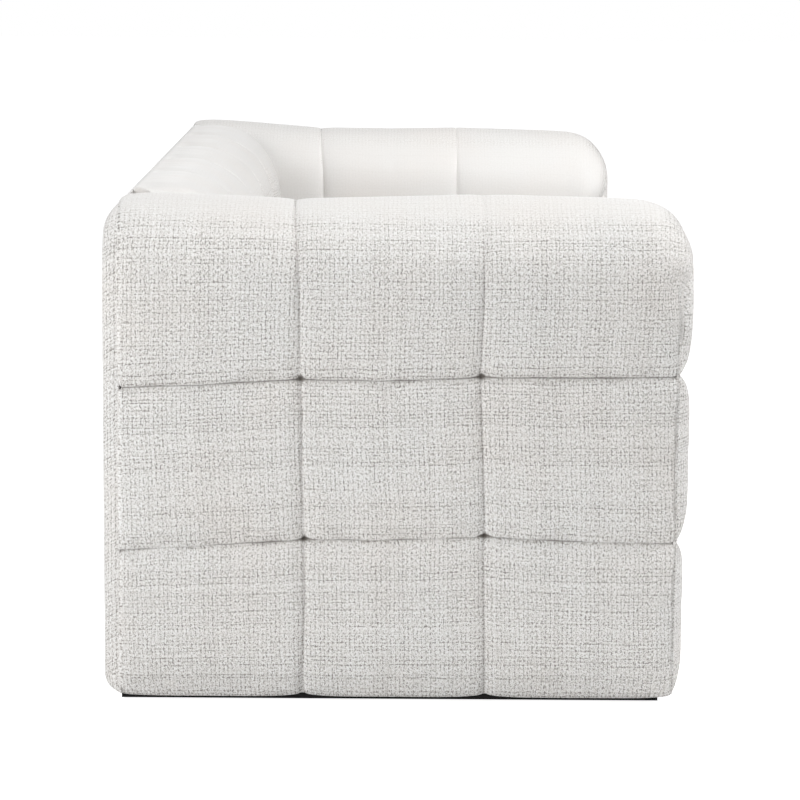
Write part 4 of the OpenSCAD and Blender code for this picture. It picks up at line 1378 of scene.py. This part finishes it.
@dataclass
class BackCover:
    """The inside of the back: five columns of pillows, domed over the top."""

    seams: Seams
    tufting: Tufting = field(default_factory=lambda: Tufting(power=4.0, groove=5 * MM))
    foot_thickness: float = 235 * MM
    top_thickness: float = 200 * MM
    roll_run: float = 105 * MM
    roll_drop: float = 130 * MM
    rear_roll: float = 45 * MM
    end_roll: float = 22 * MM
    rear_lift: float = 12.5 * MM
    rear_reach: Fade = (20 * MM, 2 * MM)
    straight_reach: Fade = (50 * MM, 5 * MM)
    ease_fade: Fade = (120 * MM, 20 * MM)
    thread_fade: Fade = (120 * MM, 30 * MM)
    lift_fade: Fade = (60 * MM, 10 * MM)
    held_rear: float = 10 * MM
    free_top: float = 80 * MM
    row_sink: float = 5 * MM
    column_sink: float = 2.2 * MM
    ease: float = 0.8
    dome: float = 0.6 * MM

    def __post_init__(self) -> None:
        """Works out the back's places from the frame."""
        _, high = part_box("back_cover")
        self.half = high.x
        self.rear = high.y
        self.outside_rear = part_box("outside_back_panel")[1].y
        self.foot_y = self.outside_rear - self.foot_thickness + self.seams.crown
        self.roll_y = self.outside_rear - self.top_thickness + self.seams.crown
        self.roll_z = self.seams.top - self.roll_drop
        self.rows = self.tufting.stations([self.seams.base, self.seams.low, self.seams.high])
        self.low_index = int(np.argmin(np.abs(self.rows - self.seams.low)))
        self.high_index = len(self.rows) - 1

    def profile(self) -> tuple[Array, Array]:
        """The section: up the leaning face, over the dome and down the rear.

        Returns:
            Its depths and heights.
        """
        s = self.seams
        rise = s.high + np.array([0.05, 0.12, 0.22, 0.36, 0.55, 0.77]) * (self.roll_z - s.high)
        turn = np.radians(np.linspace(0, 90, 14))
        z_front = np.concatenate([self.rows, rise, self.roll_z + self.roll_drop * np.sin(turn)])
        lean = self.foot_y + (self.roll_y - self.foot_y) * (z_front - s.base) / (self.roll_z - s.base)
        y_front = np.where(z_front <= self.roll_z, lean, self.roll_y)
        y_front[-len(turn):] = self.roll_y + self.roll_run * (1 - np.cos(turn))
        y_rear = np.minimum(self.outside_rear - quarter_drop(s.top - z_front, self.rear_roll), self.rear)
        mid_y = (y_front[-1] + y_rear[-1]) / 2
        return (np.concatenate([y_front, [mid_y], y_rear[::-1]]),
                np.concatenate([z_front, [s.top + self.dome], z_front[::-1]]))

    def loft(self) -> Loft:
        """The back as a loft along the sofa.

        At both ends the section shrinks towards its rear foot along a quarter circle, so
        that the last pillows roll in beside the arms.

        Returns:
            The loft.
        """
        s, t = self.seams, self.tufting
        edges = [-self.half, *s.back_x, self.half]
        x = t.stations(edges)
        y, z = self.profile()
        index = np.arange(len(y))
        in_front = index <= len(y) // 2
        grid_x = np.broadcast_to(x[:, None], (len(x), len(y)))
        inset = quarter_drop(self.half - np.abs(x), self.end_roll)[:, None]
        straight = self.behind(y, self.straight_reach)
        grid_y = y + inset * share_of(self.rear, self.roll_y, y) * in_front
        grid_z = z - inset * smooth_step(s.high, s.top, z) * (1 - straight)
        points = np.stack([grid_x, grid_y, grid_z], axis=-1)
        s_arc = arc_lengths(points)

        columns = 1 - (1 - t.swell(grid_x, edges)) * (1 - self.ease * s.near_top(*self.ease_fade, z))
        lift = self.crowns(s_arc, y) * columns * uneven(grid_x, s_arc, 11)
        pits = t.pits(grid_x, grid_z, s.back_x, [s.high])
        lift = lift - (pits + t.sink(z, [s.high], self.row_sink)) * in_front
        faint = (1 - s.near_top(*self.thread_fade, z)) * (grid_y < self.rear - self.rear_reach[1])
        lift = lift - t.sink(grid_x, s.back_x, self.column_sink) * faint

        raised = self.rear_lift * self.behind(grid_y, self.rear_reach) * s.near_top(*self.lift_fade, z)
        points[..., 2] += t.hang(z, [s.high]) * columns * in_front + s.crest(grid_x, grid_y, grid_z) + raised
        pinned = np.isin(grid_x, s.back_x) & (z < s.top - self.free_top)
        pinned |= np.isin(grid_x, [-self.half, self.half])
        pinned |= (index == self.high_index) | (index <= self.low_index)
        pinned |= ~in_front & (grid_y > self.rear - self.held_rear)
        cloth = np.stack([grid_x + 0.4, s_arc + 2.0], axis=-1)
        flat = np.zeros((len(y) + 1) // 2)
        return Loft(points, cloth, lift, pinned, len(flat), np.linspace(0, 1, 9), (flat, flat), np.ones(9), 1)

    def behind(self, y: Array, reach: Fade) -> Array:
        """A smooth rise between two distances before the rear, 0 ahead of the first."""
        return smooth_step(self.rear - reach[0], self.rear - reach[1], y)

    def crowns(self, s_arc: Array, y: Array) -> Array:
        """How far each section point may stand proud over the middle of a pillow.

        Args:
            s_arc: Distances along the section, stations by section points.
            y: Depths of the section points.

        Returns:
            The crowns, 0 under the seat and down the rear.
        """
        index = np.arange(len(y))
        marks = [0, self.low_index, self.high_index, len(y) - len(self.rows) + 4]
        rise = [self.tufting.swell(np.minimum(line, line[marks[-1]]), line[marks].tolist()) for line in s_arc]
        full = np.where(index < self.low_index, 0.0, self.seams.crown - self.tufting.give)
        return np.stack(rise) * (full * (1 - self.behind(y, self.rear_reach) * (index > len(y) // 2)))

    def build(self, wardrobe: Wardrobe) -> None:
        """Makes, settles and dresses the cover."""
        cover = SewnMesh("back_upholstery", self.loft().patches())
        wardrobe.upholster(cover, Body.SOFA, "back_cover")


@dataclass
class BoxCushion:
    """A tufted box: a border of pillows in front, pillows on top, drawn-in ends."""

    name: str
    node: str
    body: Body
    seams: Seams
    depth_cells: int
    top_crown: float
    dome: float
    end_crown: float
    fill: float
    tuck: float = 0.0
    corner: float = 10 * MM
    sink: float = 3.5 * MM
    tufting: Tufting = field(default_factory=Tufting)

    def __post_init__(self) -> None:
        """Works out the seam box of the cushion from the frame."""
        low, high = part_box(self.node)
        self.x_half = high.x - self.end_crown
        self.front = low.y + self.seams.crown
        self.rear = high.y
        self.low = low.z
        self.high = high.z - self.top_crown - self.dome

    def loft(self) -> Loft:
        """The cushion as a loft along the sofa, over its front border, top and rear border.

        Returns:
            The loft.
        """
        s, t = self.seams, self.tufting
        sides = [self.low, self.high]
        edges = [-self.x_half, *s.back_x, self.x_half]
        x, border = t.stations(edges), t.stations(sides)
        cells = np.linspace(self.front, self.rear, self.depth_cells + 1).tolist()
        over = t.stations(cells) if self.top_crown > 0 else np.linspace(self.front, self.rear, 4)
        z = np.concatenate([border, np.full(len(over) - 2, self.high), border[::-1]])
        y = np.concatenate([np.full(len(border), self.front), over[1:-1], np.full(len(border), self.rear)])
        index = np.arange(len(z))
        inward = quarter_drop(self.x_half - np.abs(x), self.corner)[:, None]
        centre, span = (self.front + self.rear) / 2, (self.rear - self.front) / 2
        grid_y = centre + (y - centre) * (1 - inward / span)
        grid_y = grid_y + np.where(index < len(border), tucked(z - self.low, self.tuck), 0.0)
        grid_x = np.broadcast_to(x[:, None], grid_y.shape)
        share_x, share_y = share_of(-self.x_half, self.x_half, grid_x), share_of(self.front, self.rear, y)
        dome = self.dome * 16 * share_x * (1 - share_x) * share_y * (1 - share_y)
        points = np.stack([grid_x, grid_y, z + dome], axis=-1)
        s_arc = arc_lengths(points)

        first_top, last_top = len(border) - 1, len(z) - len(border)
        on_top = (index > first_top) & (index < last_top)
        border_rise = (s.crown - t.give) * t.swell(z, sides)
        top_rise = max(self.top_crown - t.give, 0.0) * t.swell(y, cells)
        rise = np.where(index < first_top, border_rise, np.where(on_top, top_rise, 0.0))
        lift = rise * t.swell(grid_x, edges) * uneven(grid_x, s_arc, 23 + len(self.name))
        lift = lift - t.sink(grid_x, s.back_x, self.sink) * (index < last_top)
        if self.top_crown > 0:
            lift = lift - t.sink(y, cells[:-1], self.sink) * ((index > first_top + 1) | (index == first_top))
        sewn = np.isin(y, cells) if self.top_crown > 0 else np.ones(len(z), bool)
        pinned = np.isin(grid_x, edges) | np.isin(index, [0, first_top, len(z) - 1])
        pinned = pinned | (on_top & sewn) | (index >= last_top)
        cloth = np.stack([grid_x + 0.13 * len(self.name), s_arc + 5.0], axis=-1)
        end = max(self.end_crown - t.give, 0.0) * t.swell(border, sides)
        still = self.end_crown == 0
        return Loft(points, cloth, lift, pinned, len(border), (over - self.front) / (self.rear - self.front),
                    (end, end), t.swell(over, [self.front, self.rear]), 1, (still, still))

    def build(self, wardrobe: Wardrobe) -> None:
        """Makes, settles and dresses the cushion."""
        wardrobe.upholster(SewnMesh(self.name, self.loft().patches()), self.body, self.node)


@dataclass
class OutsideBack:
    """The padded outside back: untufted, and rolled round its top and upright edges."""

    seams: Seams
    edge_roll: float = 22 * MM
    top_roll: float = 45 * MM
    shoulder: float = 105 * MM
    foot_roll: float = 24 * MM
    puff: float = 1.2 * MM

    def build(self, wardrobe: Wardrobe) -> None:
        """Makes and dresses the panel.

        The thickness is the product of a quarter circle from each upright edge, the last
        part of the arms' top rear roll, and a quarter ellipse at the foot. The width
        narrows over the shoulders along a quarter circle.

        Args:
            wardrobe: The materials.
        """
        low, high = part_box("outside_back_panel")
        thickness = high.y - low.y
        edge = np.array([0.0, 0.2, 0.7, 1.6, 3.0, 5.0, 7.5, 10.5, 14.0, 18.0, 22.0, 30.0]) * MM
        below = np.array([60, 52, 44, 36, 28, 21, 15, 10, 6, 3, 1.2, 0.4, 0.0]) * MM
        middle = np.linspace(low.z + 42 * MM, high.z - 70 * MM, 44)
        z = np.concatenate([low.z + edge, middle, high.z - below])[:, None]
        half = high.x - quarter_drop(high.z - z, self.shoulder)
        share = np.concatenate([edge / high.x, np.linspace(0.045, 1.0, 60)])[None, :]
        left = -half * (1 - share)
        x = np.concatenate([left, -left[:, -2::-1]], axis=1)
        inside = half - np.abs(x)
        drop = math.sqrt(self.top_roll**2 - (self.top_roll - thickness) ** 2)
        under_roll = quarter_drop(high.z - z + self.top_roll - drop, self.top_roll)
        t = quarter_rise(inside, self.edge_roll) * (thickness - under_roll)
        t = t * quarter_rise(z - low.z, self.foot_roll)
        wave = self.puff * (1 + undulation(x, z + 0 * x, 41, 0.3)) * smooth_step(0.02, 0.12, inside)
        t = t + wave * smooth_step(0.05, 0.12, high.z - z) * smooth_step(0.02, 0.1, z - low.z)
        raised = z + self.seams.crest(x, high.y + 0 * x, z + 0 * x)
        rear = np.stack([x, low.y + t, raised], axis=-1)
        flat = np.stack([x, low.y + 0 * x, raised], axis=-1)
        rear[[0, -1]] = flat[[0, -1]]
        rear[:, [0, -1]] = flat[:, [0, -1]]
        cloth = np.stack([arc_lengths(rear) + 11.0, arc_lengths(rear.transpose(1, 0, 2)).T], axis=-1)
        panel = SewnMesh("outside_back_upholstery", [Patch.still(rear, cloth), Patch.still(flat, cloth)])
        wardrobe.upholster(panel, Body.SOFA, "outside_back_panel", settle=False)


@dataclass
class ClothSheet:
    """A flat cloth stretched over the deck or the underside, with slight waves."""

    name: str
    node: str
    slot: str
    rests_on: str
    wave: float
    thickness: float

    def build(self, wardrobe: Wardrobe) -> None:
        """Makes and dresses the sheet: a grid with a small seeded undulation.

        Args:
            wardrobe: The materials.
        """
        low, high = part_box(self.node)
        x, y = np.meshgrid(np.linspace(low.x, high.x, 111), np.linspace(low.y, high.y, 51), indexing="ij")
        from_rim = np.minimum.reduce([x - low.x, high.x - x, y - low.y, high.y - y])
        wave = self.wave * smooth_step(0.0, 0.08, from_rim) * (1 + undulation(x, y, 57, 0.22)) / 2
        grid = np.stack([x, y, high.z - wave], axis=-1)
        obj, _ = SewnMesh(self.name, [Patch.still(grid, grid[..., :2])]).build()
        if obj.data.polygons[0].normal.z < 0:
            obj.data.flip_normals()
        modifier = obj.modifiers.new("cloth thickness", "SOLIDIFY")
        modifier.thickness = self.thickness
        modifier.offset = -1.0
        wardrobe.dress(obj, self.slot, Body.SOFA, self.node)


@dataclass
class Studio:
    """Camera, floor and lights at the photograph's angle."""

    eye: Triple = (-4.9957, 0.022, 1.0855)
    target: Triple = (-0.8467, -0.0034, 0.4332)
    lens: float = 129.05
    roll: float = 0.46
    floor_size: float = 60.0
    floor_grey: float = 0.85
    floor_glow: float = 0.9
    ambient: float = 0.25
    lamps: tuple[tuple[str, Triple, Triple, float, float], ...] = (
        ("overhead", (-0.4, -1.6, 3.2), (-0.2, 0.0, 0.5), 2.6, 75.0),
        ("left", (-3.6, 2.6, 1.9), (-0.8, 0.0, 0.4), 2.0, 82.0),
        ("right", (-1.5, -3.8, 1.4), (-0.6, 0.0, 0.3), 2.0, 31.0),
        ("rear", (-0.3, 4.2, 1.0), (-0.3, 0.0, 0.4), 2.0, 23.0),
        ("far", (5.2, 0.4, 1.0), (0.9, 0.0, 0.4), 2.5, 40.0),
    )

    def build(self) -> None:
        """Makes the camera, floor, world and lamps."""
        self.camera()
        self.floor()
        self.world()
        for lamp in self.lamps:
            self.lamp(*lamp)

    @staticmethod
    def place(name: str, data: bpy.types.ID, place: Triple, aim: Triple) -> bpy.types.Object:
        """Stands a camera or lamp in the scene and points it.

        Args:
            name: Its name.
            data: Its data.
            place: Where it stands.
            aim: What it points at.

        Returns:
            The object.
        """
        obj = bpy.data.objects.new(name, data)
        bpy.context.scene.collection.objects.link(obj)
        obj.location = place
        obj.rotation_mode = "QUATERNION"
        obj.rotation_quaternion = (Vector(aim) - Vector(place)).to_track_quat("-Z", "Y")
        return obj

    def camera(self) -> None:
        """Makes the camera, turned about its own axis by the roll."""
        data = bpy.data.cameras.new("camera")
        data.lens = self.lens
        data.sensor_width = 36.0
        camera = self.place("camera", data, self.eye, self.target)
        turn = Quaternion((0, 0, 1), math.radians(self.roll))
        camera.rotation_quaternion = camera.rotation_quaternion @ turn
        bpy.context.scene.camera = camera

    def floor(self) -> None:
        """Makes the pale floor, which glows for the camera so that it meets the white world."""
        mesh = bpy.data.meshes.new("floor")
        h = self.floor_size / 2
        mesh.from_pydata([(-h, -h, 0), (h, -h, 0), (h, h, 0), (-h, h, 0)], [], [(0, 1, 2, 3)])
        floor = bpy.data.objects.new("floor", mesh)
        bpy.context.scene.collection.objects.link(floor)
        n, grey = Nodes("floor"), self.floor_grey
        n.set(Base_Color=(grey, grey, grey, 1.0), Roughness=1.0, Specular_IOR_Level=0.0,
              Emission_Color=(1.0, 1.0, 1.0, 1.0), Emission_Strength=n.times(self.seen(n), self.floor_glow))
        mesh.materials.append(n.material)

    @staticmethod
    def seen(graph: Graph) -> Socket:
        """1 for the rays that the camera, metal or glass sees, and 0 for light on the object."""
        path = graph.tree.nodes.new("ShaderNodeLightPath").outputs
        return graph.most(*(path[f"Is {name} Ray"] for name in ("Camera", "Glossy", "Transmission")))

    def world(self) -> None:
        """Makes the world: white where it is seen, and soft ambient light on the sofa."""
        world = bpy.data.worlds.new("world")
        bpy.context.scene.world = world
        world.use_nodes = True
        graph = Graph(world.node_tree)
        background = world.node_tree.nodes["Background"].inputs
        graph.feed(background[0], (1.0, 1.0, 1.0, 1.0))
        graph.feed(background[1], graph.make("MapRange", {0: self.seen(graph), 3: self.ambient, 4: 1.0}))

    def lamp(self, name: str, place: Triple, aim: Triple, size: float, power: float) -> None:
        """Makes a square soft lamp.

        Args:
            name: Its name.
            place: Where it stands.
            aim: What it points at.
            size: Its edge, in metres.
            power: Its power, in watts.
        """
        data = bpy.data.lights.new(name, "AREA")
        data.size = size
        data.energy = power
        self.place(name, data, place, aim)


def main() -> None:
    """Builds the sofa's looks in order and reports each piece."""
    logging.basicConfig(level=logging.INFO, format="%(message)s")
    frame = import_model()
    wardrobe = Wardrobe(frame["record"])
    for node in frame["nodes"].values():
        wardrobe.dress_node(node)
    seams = Seams()
    parts = [
        ArmCover(Side.LEFT, seams),
        ArmCover(Side.RIGHT, seams),
        BackCover(seams),
        BoxCushion("seat_cushion_upholstery", "seat_cushion_cover", Body.CUSHION, seams,
                   2, 12 * MM, 10 * MM, 6 * MM, 0.8, tufting=Tufting(step=17 * MM)),
        BoxCushion("front_rail_upholstery", "front_rail_cover", Body.SOFA, seams,
                   1, 0.0, 0.0, 0.0, 0.9, tuck=10 * MM, corner=2 * MM),
        OutsideBack(seams),
        ClothSheet("deck_sheet", "deck_cloth", "deck_cloth", "deck_pad", 0.6 * MM, 0.8 * MM),
        ClothSheet("underside_sheet", "dust_cover", "dust_cover", "plinth_front_rail", 0.2 * MM, 0.5 * MM),
    ]
    for part in parts:
        part.build(wardrobe)
    Studio().build()
    bpy.context.scene.view_settings.view_transform = "Standard"


if __name__ == "__main__":
    main()
